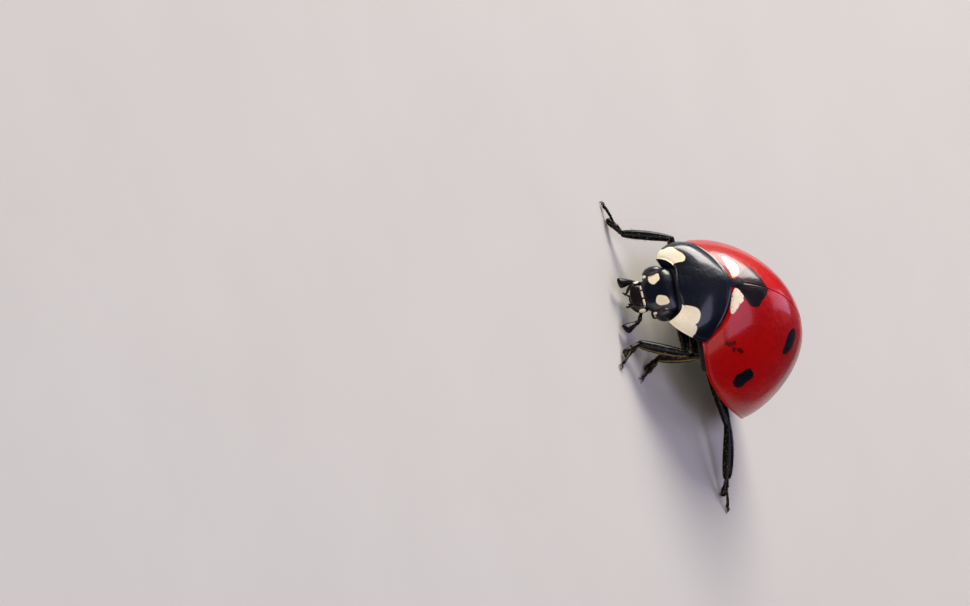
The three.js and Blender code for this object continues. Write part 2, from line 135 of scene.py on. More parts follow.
def colour(code):
    """Linear RGBA of an sRGB hex value."""
    parts = [int(code[i:i + 2], 16) / 255 for i in (1, 3, 5)]
    return (*(c / 12.92 if c <= 0.04045 else ((c + 0.055) / 1.055) ** 2.4 for c in parts), 1)


def node(tree, kind, links=None, **settings):
    """Adds a node. An input takes a number, a colour, a socket, or a node's first live output."""
    made = tree.nodes.new(kind)
    for key, value in settings.items():
        setattr(made, key, value)
    live = [socket for socket in made.inputs if socket.enabled]
    for key, value in (links or {}).items():
        socket = live[key] if isinstance(key, int) else next(s for s in live if s.name == key)
        if isinstance(value, bpy.types.Node):
            value = next(s for s in value.outputs if s.enabled)
        if isinstance(value, bpy.types.NodeSocket):
            tree.links.new(value, socket)
        else:
            socket.default_value = value
    return made


def new_material(name, **shader_values):
    """A material, its tree, its shader with plain values set, and object coordinates in metres."""
    material = bpy.data.materials.new(name)
    material.use_nodes = True
    tree = material.node_tree
    shader = tree.nodes["Principled BSDF"]
    for key, value in shader_values.items():
        shader.inputs[key.replace("_", " ")].default_value = value
    return material, tree, shader, node(tree, "ShaderNodeTexCoord").outputs["Object"]


def dress(tree, shader, tint, bump=None):
    """Joins the mixed colour and the relief of a material to its shader."""
    tree.links.new(tint.outputs[2], shader.inputs["Base Color"])
    if bump:
        tree.links.new(bump.outputs[0], shader.inputs["Normal"])


def per(millimetres):
    """Texture scale for a feature of this size, on coordinates in metres."""
    return 1 / (millimetres * MM)


def stand(name, data):
    """Puts an object made from a mesh, a lamp or a camera into the scene."""
    made = bpy.data.objects.new(name, data)
    bpy.context.collection.objects.link(made)
    return made


def make_piece(name, shapes, place, material, nodes, marks=None, sharp=42):
    """One mesh from shapes in a part's frame. It rides on the body and replaces CAD nodes."""
    faces, start = [], 0
    for points, shape_faces in shapes:
        faces += [[corner + start for corner in face] for face in shape_faces]
        start += len(points)
    mesh = bpy.data.meshes.new(name)
    mesh.from_pydata(np.vstack([points for points, _ in shapes]).tolist(), [], faces)
    for key, values in (marks or {}).items():
        mesh.attributes.new(key, "FLOAT", "POINT").data.foreach_set("value", values)
    work = bmesh.new()
    work.from_mesh(mesh)
    bmesh.ops.remove_doubles(work, verts=work.verts, dist=1e-4)
    bmesh.ops.dissolve_degenerate(work, edges=work.edges, dist=1e-5)
    bmesh.ops.recalc_face_normals(work, faces=work.faces)
    work.transform(Matrix.Scale(MM, 4) @ place)
    work.to_mesh(mesh)
    work.free()
    mesh.shade_smooth()
    mesh.set_sharp_from_angle(angle=radians(sharp))
    mesh.materials.append(material)
    made = stand(name, mesh)
    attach(made, "root")
    if nodes:
        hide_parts(*nodes)


# Tanned chitin, cast by the living skin with a fine leathery grain: black, half glossy,
# with a soft brown light where the plates are thin.
belly_cuticle, tree, shader, where = new_material("shagreened_black_chitin", IOR=1.42, Roughness=0.42)
grain = node(tree, "ShaderNodeTexVoronoi", {"Vector": where, "Scale": per(0.06)}, feature="SMOOTH_F1")
blotch = node(tree, "ShaderNodeTexNoise", {"Vector": where, "Scale": per(0.5), "Detail": 4.0})
warm = node(tree, "ShaderNodeMapRange", {"Value": blotch, "From Min": 0.45, "From Max": 0.75})
tint = node(tree, "ShaderNodeMix", {0: warm, 1: colour("#0b0a0b"), 2: colour("#1d1512")}, data_type="RGBA")
bump = node(tree, "ShaderNodeBump", {"Height": grain, "Strength": 0.35, "Distance": 0.01 * MM})
dress(tree, shader, tint, bump)

BELLY_SCALE = 0.825
BELLY_DEPTH, BELLY_POWER = 0.5, 2.4
BELLY_SWELL = (0.775, 0.45)
BELLY_FADE = (2.2, 3.9)
THORAX_SPAN = (-0.05, 2.35)
SEGMENT_ENDS = (3.15, 3.75, 4.25, 4.7, 5.1)
ABDOMEN_SPAN = (2.38, 5.93)
STERNITE_STEP, STERNITE_LIP = 0.055, 0.25
MIDLINE_GROOVE, MIDLINE_WIDTH, MIDLINE_START = 0.045, 0.08485, (1.0, 1.3)


def trunk_ring(y, inset=0.0, groove=0.0, count=96):
    """One cross-section of the trunk: an arch under the wing cases and a shallow belly."""
    turn = np.linspace(0, 2 * pi, count, endpoint=False)
    above = np.cos(turn) >= -1e-9
    arch = SHELL_CENTRE + (dome(y, np.where(above, turn, 0)) - SHELL_CENTRE) * BELLY_SCALE
    edges = SHELL_CENTRE + (dome(y, np.array((-pi / 2, pi / 2))) - SHELL_CENTRE) * BELLY_SCALE
    edge = edges[(turn < pi).astype(int)]
    swell = min(1, BELLY_SWELL[0] + BELLY_SWELL[1] * y)
    fade = np.sqrt(max(0, 1 - (max(0, y - BELLY_FADE[0]) / BELLY_FADE[1]) ** 2))
    depth = (BELLY_DEPTH * swell * fade - inset) * superellipse(np.sin(turn), BELLY_POWER)
    depth -= groove * np.exp(-((np.sin(turn) / MIDLINE_WIDTH) ** 2))
    belly = np.stack([np.abs(np.sin(turn)) * edge[:, 0], edge[:, 1], edge[:, 2] - depth], -1)
    return np.where(above[:, None], arch, belly)


def sternite_inset(y):
    """Each ring of the abdomen swells to its hind edge, then drops to the next."""
    ends = np.array((ABDOMEN_SPAN[0], *SEGMENT_ENDS, ABDOMEN_SPAN[1]))
    k = min(np.searchsorted(ends, y, side="right"), len(ends) - 1)
    share = (y - ends[k - 1]) / (ends[k] - ends[k - 1])
    return STERNITE_STEP * (1 - smoothstep(share, 0, 0.35) + STERNITE_LIP * smoothstep(share, 0.9, 1))


thorax = rings_shape([
    trunk_ring(y, groove=MIDLINE_GROOVE * smoothstep(y, *MIDLINE_START))
    for y in np.linspace(*THORAX_SPAN, 44)
])
abdomen_y = ABDOMEN_SPAN[0] + (ABDOMEN_SPAN[1] - ABDOMEN_SPAN[0]) * np.sin(np.linspace(0, pi / 2, 110))
abdomen = rings_shape([trunk_ring(y, inset=sternite_inset(y)) for y in abdomen_y])
make_piece("thorax_plates", [thorax], trunk_frame, belly_cuticle, ["thorax"])
make_piece("abdomen_rings", [abdomen], trunk_frame, belly_cuticle, ["abdomen"])

# ---- Legs ----------------------------------------------------------------------------
# Six short walking legs of glossy black chitin. Each has a hip ball in the body, a ring
# that joins it to a swollen thigh, a slim shin, and a foot of two pads and a claw joint
# with two hooked claws. Soft skin joins them, hidden inside each knee.

# Hip, knee, ankle and toe joint, and the claws' place; y runs to the rear, x to the left.
LEGS = {
    "front_right": [(-0.35, -0.23, 1.3), (-1.71, -0.66, 1.63), (-1.86, -1.69, 0.4), (-2.33, -2.0, 0.15),
                    (-2.81, -2.19, 0.06)],
    "front_left": [(0.63, -0.05, 1.33), (2.29, -0.17, 1.54), (2.12, -1.36, 0.47), (2.54, -1.69, 0.15),
                   (3.02, -1.9, 0.06)],
    "middle_right": [(-0.72, 0.9, 1.1), (-2.2, 1.72, 1.3), (-2.75, 2.8, 0.38), (-3.0, 3.38, 0.15),
                     (-3.2, 3.85, 0.06)],
    "middle_left": [(0.72, 0.9, 1.1), (2.14, 0.45, 1.6), (1.92, 0.12, 0.4), (2.45, -0.22, 0.15),
                    (2.87, -0.52, 0.06)],
    "hind_right": [(-1.2, 2.5, 0.9), (-2.6, 3.85, 0.95), (-3.1, 5.55, 0.4), (-3.25, 6.15, 0.15),
                   (-3.4, 6.62, 0.06)],
    "hind_left": [(1.12, 2.58, 0.9), (2.9, 3.67, 0.9), (4.5, 4.25, 0.42), (4.87, 4.53, 0.15),
                  (5.22, 4.8, 0.06)],
}
# Half length, width and depth of each pair's hip ball, which is a drum of these sections:
# place along it, and share of its half width and depth.
COXA = {"front": (0.3, 0.24, 0.3), "middle": (0.31, 0.28, 0.26), "hind": (0.4, 0.2, 0.22)}
COXA_DRUM = [(-1, 0, 0), (-0.92, 0.35, 0.35), (-0.6, 0.8, 0.8), (0, 1, 1), (0.5, 0.85, 0.85),
             (0.85, 0.5, 0.55), (1, 0.3, 0.3), (1.02, 0, 0)]
COXA_INSET, COXA_DROP = (-0.12, 0, 0.05), -0.12
THIGH_THICKNESS = {"front": 0.95, "middle": 0.82, "hind": 1.0}
# Place along the part, half width in the plane of the leg, and bow out of its chord.
TROCHANTER = [(0, 0, 0), (0.1, 0.06, 0), (0.5, 0.095, 0), (0.9, 0.09, 0), (1, 0, 0)]
TROCHANTER_SPAN = (-0.03, 0.13)
THIGH_START = 0.08
THIGH = [(-0.02, 0, 0), (0, 0.08, 0), (0.08, 0.14, 0.01), (0.25, 0.18, 0.03), (0.5, 0.19, 0.04),
         (0.75, 0.165, 0.03), (0.92, 0.135, 0.01), (1.0, 0.12, 0), (1.06, 0.08, 0), (1.085, 0, 0)]
SHIN = [(-0.07, 0, 0), (-0.05, 0.085, 0), (0.03, 0.12, 0.01), (0.15, 0.145, 0.035), (0.4, 0.178, 0.045),
        (0.7, 0.182, 0.03), (0.9, 0.158, 0.01), (0.98, 0.125, 0), (1.01, 0.085, 0), (1.02, 0, 0)]
SHIN_THICKNESS = {"front_right": 0.85}
FLATTENING = 0.92
SPUR, SPUR_LENGTH, SPUR_SPREAD = [(0, 0.018, 0), (0.5, 0.012, 0), (1, 0, 0)], 0.13, (0.05, 0.07)
# Place along the pad, half width and half depth.
PAD_ONE = [(-0.03, 0.0, 0.0), (0.0, 0.06, 0.06), (0.15, 0.08, 0.075), (0.4, 0.12, 0.095), (0.52, 0.13, 0.095),
           (0.56, 0.09, 0.06), (0.57, 0, 0)]
PAD_LOBE = [(0.36, 0.0, 0.0), (0.4, 0.06, 0.06), (0.6, 0.085, 0.095), (0.85, 0.09, 0.1), (1.0, 0.07, 0.08),
            (1.07, 0.025, 0.03), (1.08, 0, 0)]
LOBE_SPREAD, LOBE_DROOP = 0.06, 0.035
# Place along the joint and its half width.
CLAW_JOINT = [(0.0, 0), (0.05, 0.035), (0.3, 0.038), (0.7, 0.048), (0.9, 0.055), (0.98, 0.038), (1.0, 0)]
CLAW_JOINT_START, CLAW_JOINT_HUMP = 0.6, 0.05
# Shares of the claw's length and spread, height, half width and half depth.
CLAW = [(0, 0, 0.02, 0, 0), (0.08, 0.1, 0.035, 0.026, 0.0182), (0.35, 0.45, 0.04, 0.03, 0.021),
        (0.7, 0.8, 0.0, 0.02, 0.014), (0.95, 1.0, -0.045, 0.009, 0.0063), (1.02, 1.02, -0.056, 0, 0)]
CLAW_TOOTH = [(0.35, 0.3, 0.01, 0, 0), (0.35, 0.3, 0, 0.022, 0.014), (0.35, 0.3, -0.025, 0.016, 0.01),
              (0.409, 0.3, -0.05, 0, 0)]
CLAW_LENGTH, CLAW_SPREAD, CLAW_SET_BACK = 0.17, 0.085, 0.03


def smooth_line(points, steps, closed=False):
    """Smooth curve through a row of points with any number of coordinates."""
    points = np.array(points, float)
    if closed:
        before, start, after, beyond = (np.roll(points, k, 0) for k in (1, 0, -1, -2))
    else:
        padded = np.vstack([2 * points[0] - points[1], points, 2 * points[-1] - points[-2]])
        before, start, after, beyond = padded[:-3], padded[1:-2], padded[2:-1], padded[3:]
    t = (np.arange(steps) / steps)[:, None, None]
    curve = 2 * start + (after - before) * t + (2 * before - 5 * start + 4 * after - beyond) * t**2
    curve = 0.5 * (curve + (3 * start - before - 3 * after + beyond) * t**3)
    curve = curve.transpose(1, 0, 2).reshape(-1, points.shape[1])
    return curve if closed else np.vstack([curve, points[-1:]])


def unit(vector):
    vector = np.asarray(vector, float)
    return vector / np.maximum(np.linalg.norm(vector, axis=-1, keepdims=True), 1e-12)


def tube(stations, flat, sides=18, steps=5, power=2.0):
    """Closed tube through (x, y, z, half width, half depth); its depth faces the flat direction."""
    line = smooth_line(stations, steps)
    centre, size = line[:, None, :3], np.maximum(line[:, 3:], 0)
    along = unit(np.gradient(line[:, :3], axis=0))
    across = unit(np.cross(np.broadcast_to(flat, along.shape), along))
    up = np.cross(along, across)
    turn = np.linspace(0, 2 * pi, sides, endpoint=False)
    c, s = np.cos(turn), np.sin(turn)
    c, s = (np.sign(v) * np.abs(v) ** (2 / power) for v in (c, s))
    rings = centre + across[:, None] * (c * size[:, :1])[..., None]
    rings = rings + up[:, None] * (s * size[:, 1:2])[..., None]
    return rings.reshape(-1, 3), grid_faces(len(line), sides, around=True)


def limb(start, end, profile, bow, normal, thickness=1.0):
    """Tube from start to end whose widths and bow come from a profile."""
    stations = [
        (*(start + (end - start) * t + bow * lift), wide * thickness, wide * thickness * FLATTENING)
        for t, wide, lift in profile
    ]
    return tube(stations, normal)


def foot(ankle, joint, claws):
    """Pads, claw joint and two claws of one foot, as two lists of shapes."""
    ankle, joint, claws = (np.asarray(v, float) for v in (ankle, joint, claws))
    along, up = joint - ankle, np.array((0, 0, 1.0))
    side = unit(np.cross(up, along))
    sole = unit(np.cross(along, side))
    pads = [tube([(*(ankle + along * t), w, d) for t, w, d in PAD_ONE], sole)]
    for sign in (-1, 1):
        stations = [
            (*(ankle + along * t + side * sign * LOBE_SPREAD * smoothstep(t, 0.35, 0.8)
               - up * LOBE_DROOP * smoothstep(t, 0.4, 0.7)), w, d)
            for t, w, d in PAD_LOBE
        ]
        pads.append(tube(stations, sole))
    root = ankle + along * CLAW_JOINT_START
    reach = claws - root
    hump = [(*(root + reach * t + up * CLAW_JOINT_HUMP * sin(pi * t)), r, r) for t, r in CLAW_JOINT]
    pads.append(tube(hump, side))
    forward = unit((reach[0], reach[1], 0))
    base = claws - forward * CLAW_SET_BACK
    hooks = []
    for sign in (-1, 1):
        for path in (CLAW, CLAW_TOOTH):
            stations = [
                (*(base + forward * CLAW_LENGTH * t + side * sign * CLAW_SPREAD * w + up * h), r, d)
                for t, w, h, r, d in path
            ]
            hooks.append(tube(stations, side * sign))
    return pads, hooks


def thin_edges(shapes, plane):
    """How squarely each point of some limbs looks out of the leg's plane; 0 is a thin edge."""
    marks = []
    for points, faces in shapes:
        rings = points.reshape(-1, faces[0][3] - faces[0][0], 3)
        middle = rings.mean(1, keepdims=True)
        along = unit(np.gradient(middle, axis=0))
        face = unit(plane - (along * plane).sum(-1, keepdims=True) * along)
        marks.append((unit(rings - middle) * face).sum(-1).ravel())
    return {"broadside": np.concatenate(marks)}


# Tanned chitin, polished by wear: black, with a light olive line painted along the thin
# edges of each limb as a painted rim highlight, and small pits where hairs stand.
leg_cuticle, tree, shader, where = new_material(
    "polished_black_chitin", IOR=1.15, Roughness=0.36, Coat_Weight=0.16, Coat_Roughness=0.14
)
# Painted rim highlight: a light olive line along the thin edges of each limb, broken up by streaks.
rim = node(tree, "ShaderNodeAttribute", attribute_name="broadside").outputs["Fac"]
rim = node(tree, "ShaderNodeMath", {0: rim}, operation="ABSOLUTE")
rim = node(tree, "ShaderNodeMapRange", {"Value": rim, "From Min": 0.22, "From Max": 0.03})
streak = node(tree, "ShaderNodeTexNoise", {"Vector": where, "Scale": per(0.25), "Detail": 3.0})
rim = node(tree, "ShaderNodeMath", {0: rim, 1: streak}, operation="MULTIPLY")
tint = node(tree, "ShaderNodeMix", {0: rim, 1: colour("#060607"), 2: colour("#b18c48")}, data_type="RGBA")
pore = node(tree, "ShaderNodeTexVoronoi", {"Vector": where, "Scale": per(0.055), "Randomness": 0.9})
pore = node(tree, "ShaderNodeMapRange", {"Value": pore, "From Min": 0.0, "From Max": 0.35})
bump = node(tree, "ShaderNodeBump", {"Height": pore, "Strength": 0.3, "Distance": 0.006 * MM})
dress(tree, shader, tint, bump)

# Claws are the same chitin, thinner and less tanned: a clear dark amber.
claw_chitin, tree, shader, where = new_material("amber_claw_chitin", IOR=1.56, Roughness=0.2)
cloud = node(tree, "ShaderNodeTexNoise", {"Vector": where, "Scale": per(0.12), "Detail": 2.0})
tint = node(tree, "ShaderNodeMix", {0: cloud, 1: colour("#120b08"), 2: colour("#3a2112")}, data_type="RGBA")
dress(tree, shader, tint)

haired_legs, haired_feet = [], []
for leg, joints in LEGS.items():
    pair = leg.split("_")[0]
    hip, knee, ankle, joint, claws = (np.array(p, float) for p in joints)
    outward = np.sign(hip[0])
    plane = unit(np.cross(knee - hip, ankle - knee))
    bend = unit(knee - (hip + ankle) / 2)
    thick = THIGH_THICKNESS[pair]
    ball = hip + np.array(COXA_INSET) * (outward, 1, 1)
    half_length, half_width, half_depth = COXA[pair]
    lie = np.array((outward * half_length, 0, COXA_DROP))
    coxa = tube([(*(ball + lie * t), w * half_width, d * half_depth) for t, w, d in COXA_DRUM], (0, 0, 1))
    make_piece(f"{leg}_hip", [coxa], floor_frame, belly_cuticle, [f"{leg}_coxa"])
    ends = (hip + (knee - hip) * t for t in TROCHANTER_SPAN)
    ring = limb(*ends, TROCHANTER, bend, plane, thick)
    thigh = limb(hip + (knee - hip) * THIGH_START, knee, THIGH, bend, plane, thick)
    make_piece(f"{leg}_thigh", [ring, thigh], floor_frame, leg_cuticle, [f"{leg}_femur"],
               thin_edges([ring, thigh], plane))
    shin = limb(knee, ankle, SHIN, bend, plane, SHIN_THICKNESS.get(leg, 1.0))
    near, far = (plane * spread for spread in SPUR_SPREAD)
    spurs = [
        limb(ankle + near * sign, ankle + far * sign + unit(ankle - knee) * SPUR_LENGTH, SPUR, bend, plane)
        for sign in (-1, 1)
    ]
    make_piece(f"{leg}_shin", [shin, *spurs], floor_frame, leg_cuticle, [f"{leg}_tibia"],
               thin_edges([shin, *spurs], plane))
    pads, hooks = foot(ankle, joint, claws)
    make_piece(f"{leg}_foot", pads, floor_frame, leg_cuticle, [f"{leg}_tarsus"],
               thin_edges(pads, plane))
    make_piece(f"{leg}_claws", hooks, floor_frame, claw_chitin, [])
    haired_legs += [thigh, shin]
    haired_feet += pads

# ---- Pronotum and the shield's underside ---------------------------------------------
# The pronotum is one arched plate of black chitin, notched in front for the head, with a
# fine rolled edge and an ivory patch in each front corner. Its underside closes on a
# rounded breastplate that carries the front legs.

PROTHORAX_PIVOT, PROTHORAX_TURN = Vector((0, 0.3, 1.7)), (11, 20, -3)
PRONOTUM_FRONT = {"half_width": 1.1, "y": -1.44, "z": 1.21, "mid_y": -1.32, "mid_z": 1.72}
PRONOTUM_HIND = {"half_width": 1.75, "y": -0.28, "z": 1.56, "mid_y": 0.26, "mid_z": 2.67}
PRONOTUM_BULGE, PRONOTUM_NOTCH, NOTCH_PLACE = 0.15, 0.17, 1.65
PRONOTUM_ARCH, PRONOTUM_BOW, PRONOTUM_OUTER = (3.7, 1.46), (2.5, 2.05), 0.64
PRONOTUM_CENTRE, PRONOTUM_SCALE = np.array((0, -0.5, 1.15)), 0.76
BREAST_CENTRE, BREAST_RADII, BREAST_TIP = (0, -0.45, 1.35), (1.35, 0.85, 0.72), radians(28)
KEEL_HEIGHT, KEEL_WIDTH, KEEL_RISE = 0.07, 0.16, (0.1, 0.6)
BEAD_HEIGHT, BEAD_WIDTH, FRONT_BEAD_INSET = 0.018, 0.04, 0.02
GROOVE_DEPTH, GROOVE_PLACE, GROOVE_WIDTH = 0.008, 2.1 * BEAD_WIDTH, 0.7 * BEAD_WIDTH
SHIELD_COLUMNS, SHIELD_ROWS = 150, 90
OUTSIDE = -9.0

# Outlines of the ivory patch in (u, v): u from side to side, v from the front to the rear.
PRONOTUM_PATCH = {
    "right": [(-1.03, -0.06), (-1.03, 0.05), (-0.99, 0.14), (-0.96, 0.25), (-0.92, 0.275), (-0.83, 0.262),
              (-0.72, 0.285), (-0.63, 0.27), (-0.565, 0.2), (-0.61, 0.09), (-0.67, 0.01), (-0.74, -0.06)],
    "left": [(1.03, -0.06), (0.68, -0.06), (0.555, 0.03), (0.53, 0.13), (0.55, 0.25), (0.61, 0.33),
             (0.72, 0.38), (0.81, 0.39), (0.86, 0.365), (0.88, 0.42), (0.94, 0.49), (0.99, 0.52),
             (1.03, 0.49)],
}


def hinged(parent, pivot, angles):
    """Frame that turns by yaw, pitch and roll, in degrees, about a pivot in its parent."""
    yaw, pitch, roll = (radians(a) for a in angles)
    turn = Matrix.Rotation(yaw, 4, "Z") @ Matrix.Rotation(pitch, 4, "X") @ Matrix.Rotation(roll, 4, "Y")
    return parent @ Matrix.Translation(pivot) @ turn @ Matrix.Translation(-pivot)


prothorax_frame = hinged(trunk_frame, PROTHORAX_PIVOT, PROTHORAX_TURN)


def blend(low, high, t):
    return low + (high - low) * t


def pronotum_point(u, v):
    front, hind = PRONOTUM_FRONT, PRONOTUM_HIND
    u, v = np.broadcast_arrays(np.asarray(u, float), np.asarray(v, float))
    side, v = np.clip(np.abs(u), 0, 1), np.clip(v, 0, 1)
    rise = np.sqrt(np.sin(v * pi / 2))
    mid_z = blend(front["mid_z"], hind["mid_z"], v) + PRONOTUM_BULGE * np.sin(pi * v)
    height = (1 - side ** blend(*PRONOTUM_ARCH, np.sqrt(v))) ** PRONOTUM_OUTER
    to_side = side ** blend(*PRONOTUM_BOW, v)
    y = blend(blend(front["mid_y"], hind["mid_y"], v), blend(front["y"], hind["y"], v), to_side)
    y = y + PRONOTUM_NOTCH * (1 - v) ** 2 * np.sin(pi * side**NOTCH_PLACE)
    z = blend(blend(front["z"], hind["z"], rise), mid_z, height)
    return np.stack([np.clip(u, -1, 1) * blend(front["half_width"], hind["half_width"], rise), y, z], -1)


def plate(outer, inner):
    """Closed plate between two grids of points."""
    rows, columns = outer.shape[:2]
    count = rows * columns
    faces = grid_faces(rows, columns)
    faces += [[corner + count for corner in face[::-1]] for face in faces]
    index = np.arange(count).reshape(rows, columns)
    rim = np.concatenate([index[0, :], index[1:, -1], index[-1, -2::-1], index[-2:0:-1, 0]])
    for a, b in zip(rim, np.roll(rim, -1)):
        faces.append([int(b), int(a), int(a) + count, int(b) + count])
    return np.vstack([outer.reshape(-1, 3), inner.reshape(-1, 3)]), faces


def face_marks(depth):
    """Marks of a plate: as given on its outer face and none on its inner one."""
    return np.concatenate([depth.ravel(), np.full(depth.size, OUTSIDE)])


def grid_normals(grid, centre):
    """Unit normals of a grid of points that face away from a centre."""
    normal = unit(np.cross(np.gradient(grid, axis=0), np.gradient(grid, axis=1)))
    return normal if np.median(((grid - centre) * normal).sum(-1)) > 0 else -normal


def distance_to(points, line):
    """Distance from each point to a broken line."""
    flat = points.reshape(-1, 3)
    nearest = np.full(len(flat), np.inf)
    for start, end in zip(line[:-1], line[1:]):
        span = end - start
        share = np.clip((flat - start) @ span / max(span @ span, 1e-12), 0, 1)
        nearest = np.minimum(nearest, ((flat - start - share[:, None] * span) ** 2).sum(-1))
    return np.sqrt(nearest).reshape(points.shape[:-1])


def inside(a, b, outline):
    """True where (a, b) lies inside a closed outline."""
    hit = np.zeros(a.shape, bool)
    for (a0, b0), (a1, b1) in zip(outline, np.roll(outline, -1, 0)):
        if b0 != b1:
            hit ^= ((b0 > b) != (b1 > b)) & (a < (a1 - a0) * (b - b0) / (b1 - b0) + a0)
    return hit


def mark_depth(points, a, b, corners, surface):
    """How many millimetres each point lies inside a mark on a surface; less than 0 is outside."""
    outline = smooth_line(corners, 8, closed=True)
    line = surface(*np.vstack([outline, outline[:1]]).T)
    reach = distance_to(points, line)
    return np.where(inside(a, b, outline), reach, -reach)


def bead(distance):
    """Rolled edge with a fine groove inside it."""
    rise = BEAD_HEIGHT * np.exp(-((distance / BEAD_WIDTH) ** 2))
    return rise - GROOVE_DEPTH * np.exp(-(((distance - GROOVE_PLACE) / GROOVE_WIDTH) ** 2))


# The grid's rows lie closer together at the front, and its columns at the sides.
u, v = np.sin(np.linspace(-pi / 2, pi / 2, SHIELD_COLUMNS)), np.linspace(0, 1, SHIELD_ROWS) ** 1.6
u, v = np.meshgrid(u, v)
shield = pronotum_point(u, v)
patches = PRONOTUM_PATCH.values()
patch = np.maximum(*(mark_depth(shield, u, v, corners, pronotum_point) for corners in patches))
edge_u, edge_v = np.linspace(-1, 1, 200), np.linspace(0, 1, 160)
right_line, left_line = (distance_to(shield, pronotum_point(end, edge_v)) for end in (-1.0, 1.0))
front_line, hind_line = (distance_to(shield, pronotum_point(edge_u, end)) for end in (0.0, 1.0))
lift = bead(np.minimum(np.minimum(right_line, left_line), front_line + FRONT_BEAD_INSET)) + bead(hind_line)
shield_top = shield + grid_normals(shield, PRONOTUM_CENTRE) * lift[..., None]
shield_under = PRONOTUM_CENTRE + (shield - PRONOTUM_CENTRE) * PRONOTUM_SCALE

# Chitin under a clear polished skin: deep black with a cold sheen, and a faint blue cast
# painted into the black as painted reflection of cool light; fine pits about a twentieth
# of a millimetre apart, and ivory patches of pigment under the same gloss.
shield_cuticle, tree, shader, where = new_material(
    "lacquered_black_chitin", IOR=1.25, Roughness=0.34, Coat_Weight=0.5, Coat_Roughness=0.16
)
depth = node(tree, "ShaderNodeAttribute", attribute_name="ivory").outputs["Fac"]
grain = node(tree, "ShaderNodeTexNoise", {"Vector": where, "Scale": per(0.06), "Detail": 2.0})
ragged = node(tree, "ShaderNodeMath", {0: grain, 1: 0.03, 2: -0.015}, operation="MULTIPLY_ADD")
ragged = node(tree, "ShaderNodeMath", {0: depth, 1: ragged}, operation="ADD")
patch_share = node(
    tree, "ShaderNodeMapRange", {"Value": ragged, "From Min": -0.012, "From Max": 0.012},
    interpolation_type="SMOOTHSTEP",
)
cloud = node(tree, "ShaderNodeTexNoise", {"Vector": where, "Scale": per(0.6), "Detail": 3.0})
ivory = node(tree, "ShaderNodeMix", {0: cloud, 1: colour("#f2dfae"), 2: colour("#fdf3d6")}, data_type="RGBA")
# The black is the shell's own; its faint blue cast is painted reflection.
black = node(tree, "ShaderNodeMix", {0: cloud, 1: colour("#05070d"), 2: colour("#0b1020")}, data_type="RGBA")
tint = node(
    tree, "ShaderNodeMix", {0: patch_share, 1: black.outputs[2], 2: ivory.outputs[2]}, data_type="RGBA"
)
pit = node(tree, "ShaderNodeTexVoronoi", {"Vector": where, "Scale": per(0.06), "Randomness": 0.85})
pit = node(tree, "ShaderNodeMapRange", {"Value": pit, "From Min": 0.1, "From Max": 0.3})
fine = node(tree, "ShaderNodeBump", {"Height": pit, "Strength": 0.3, "Distance": 0.005 * MM})
swell = node(
    tree, "ShaderNodeTexNoise", {"Vector": where, "Scale": per(0.45), "Detail": 5.0, "Roughness": 0.65}
)
bump = node(
    tree, "ShaderNodeBump", {"Height": swell, "Strength": 0.9, "Distance": 0.036 * MM, "Normal": fine}
)
dress(tree, shader, tint, bump)

make_piece(
    "pronotum_shield", [plate(shield_top, shield_under)], prothorax_frame, shield_cuticle, ["pronotum"],
    {"ivory": face_marks(patch)},
)


def rounded_body(radii, rows, columns):
    """Rounded body about the origin, as a grid of points from pole to pole."""
    turn, rise = np.linspace(0, 2 * pi, columns, endpoint=False), np.linspace(-pi / 2, pi / 2, rows)
    turn, rise = np.meshgrid(turn, rise)
    return np.stack([np.cos(rise) * np.cos(turn), np.cos(rise) * np.sin(turn), np.sin(rise)], -1) * radii


def tipped(grid, angle, centre):
    """Closed shape from a rounded body, tipped forward and set at its centre."""
    points = grid @ np.array(Matrix.Rotation(angle, 3, "X")).T + centre
    return points.reshape(-1, 3), grid_faces(*grid.shape[:2], around=True)


breast = rounded_body(BREAST_RADII, 40, 72)
keel = KEEL_HEIGHT * np.exp(-((breast[..., 0] / KEEL_WIDTH) ** 2))
breast[..., 2] -= keel * smoothstep(-breast[..., 2], *KEEL_RISE)
make_piece("breastplate", [tipped(breast, BREAST_TIP, BREAST_CENTRE)], prothorax_frame, belly_cuticle,
           ["prosternum"])

# ---- Scutellum and wing cases --------------------------------------------------------
# The scutellum is a small black triangle at the root of the wing cases. The two elytra
# are hard shells of red chitin that meet along the suture. Each has a rolled side edge,
# three and a half black spots and an ivory mark, all pigment under a clear hard gloss.

SCUTELLUM = {"half_width": 0.28, "length": 0.42, "thickness": 0.3, "front": -0.14, "proud": 0.03}
ELYTRON_FRONT, ELYTRON_END = -0.25, 6.008
SHELL_SCALE = 0.84
SUTURE_GAP = 0.02
# Turns, in radians, of the close columns beside the suture that carry its bevel.
SUTURE_TURNS = (0, 0.004, 0.009, 0.015, 0.022)
SUTURE_BEVEL = (0.03, 0.009)
SHIELD_SEAM, SEAM_REACH = 0.06, 1.4
FRONT_ROUNDING = (0.16, 0.05)

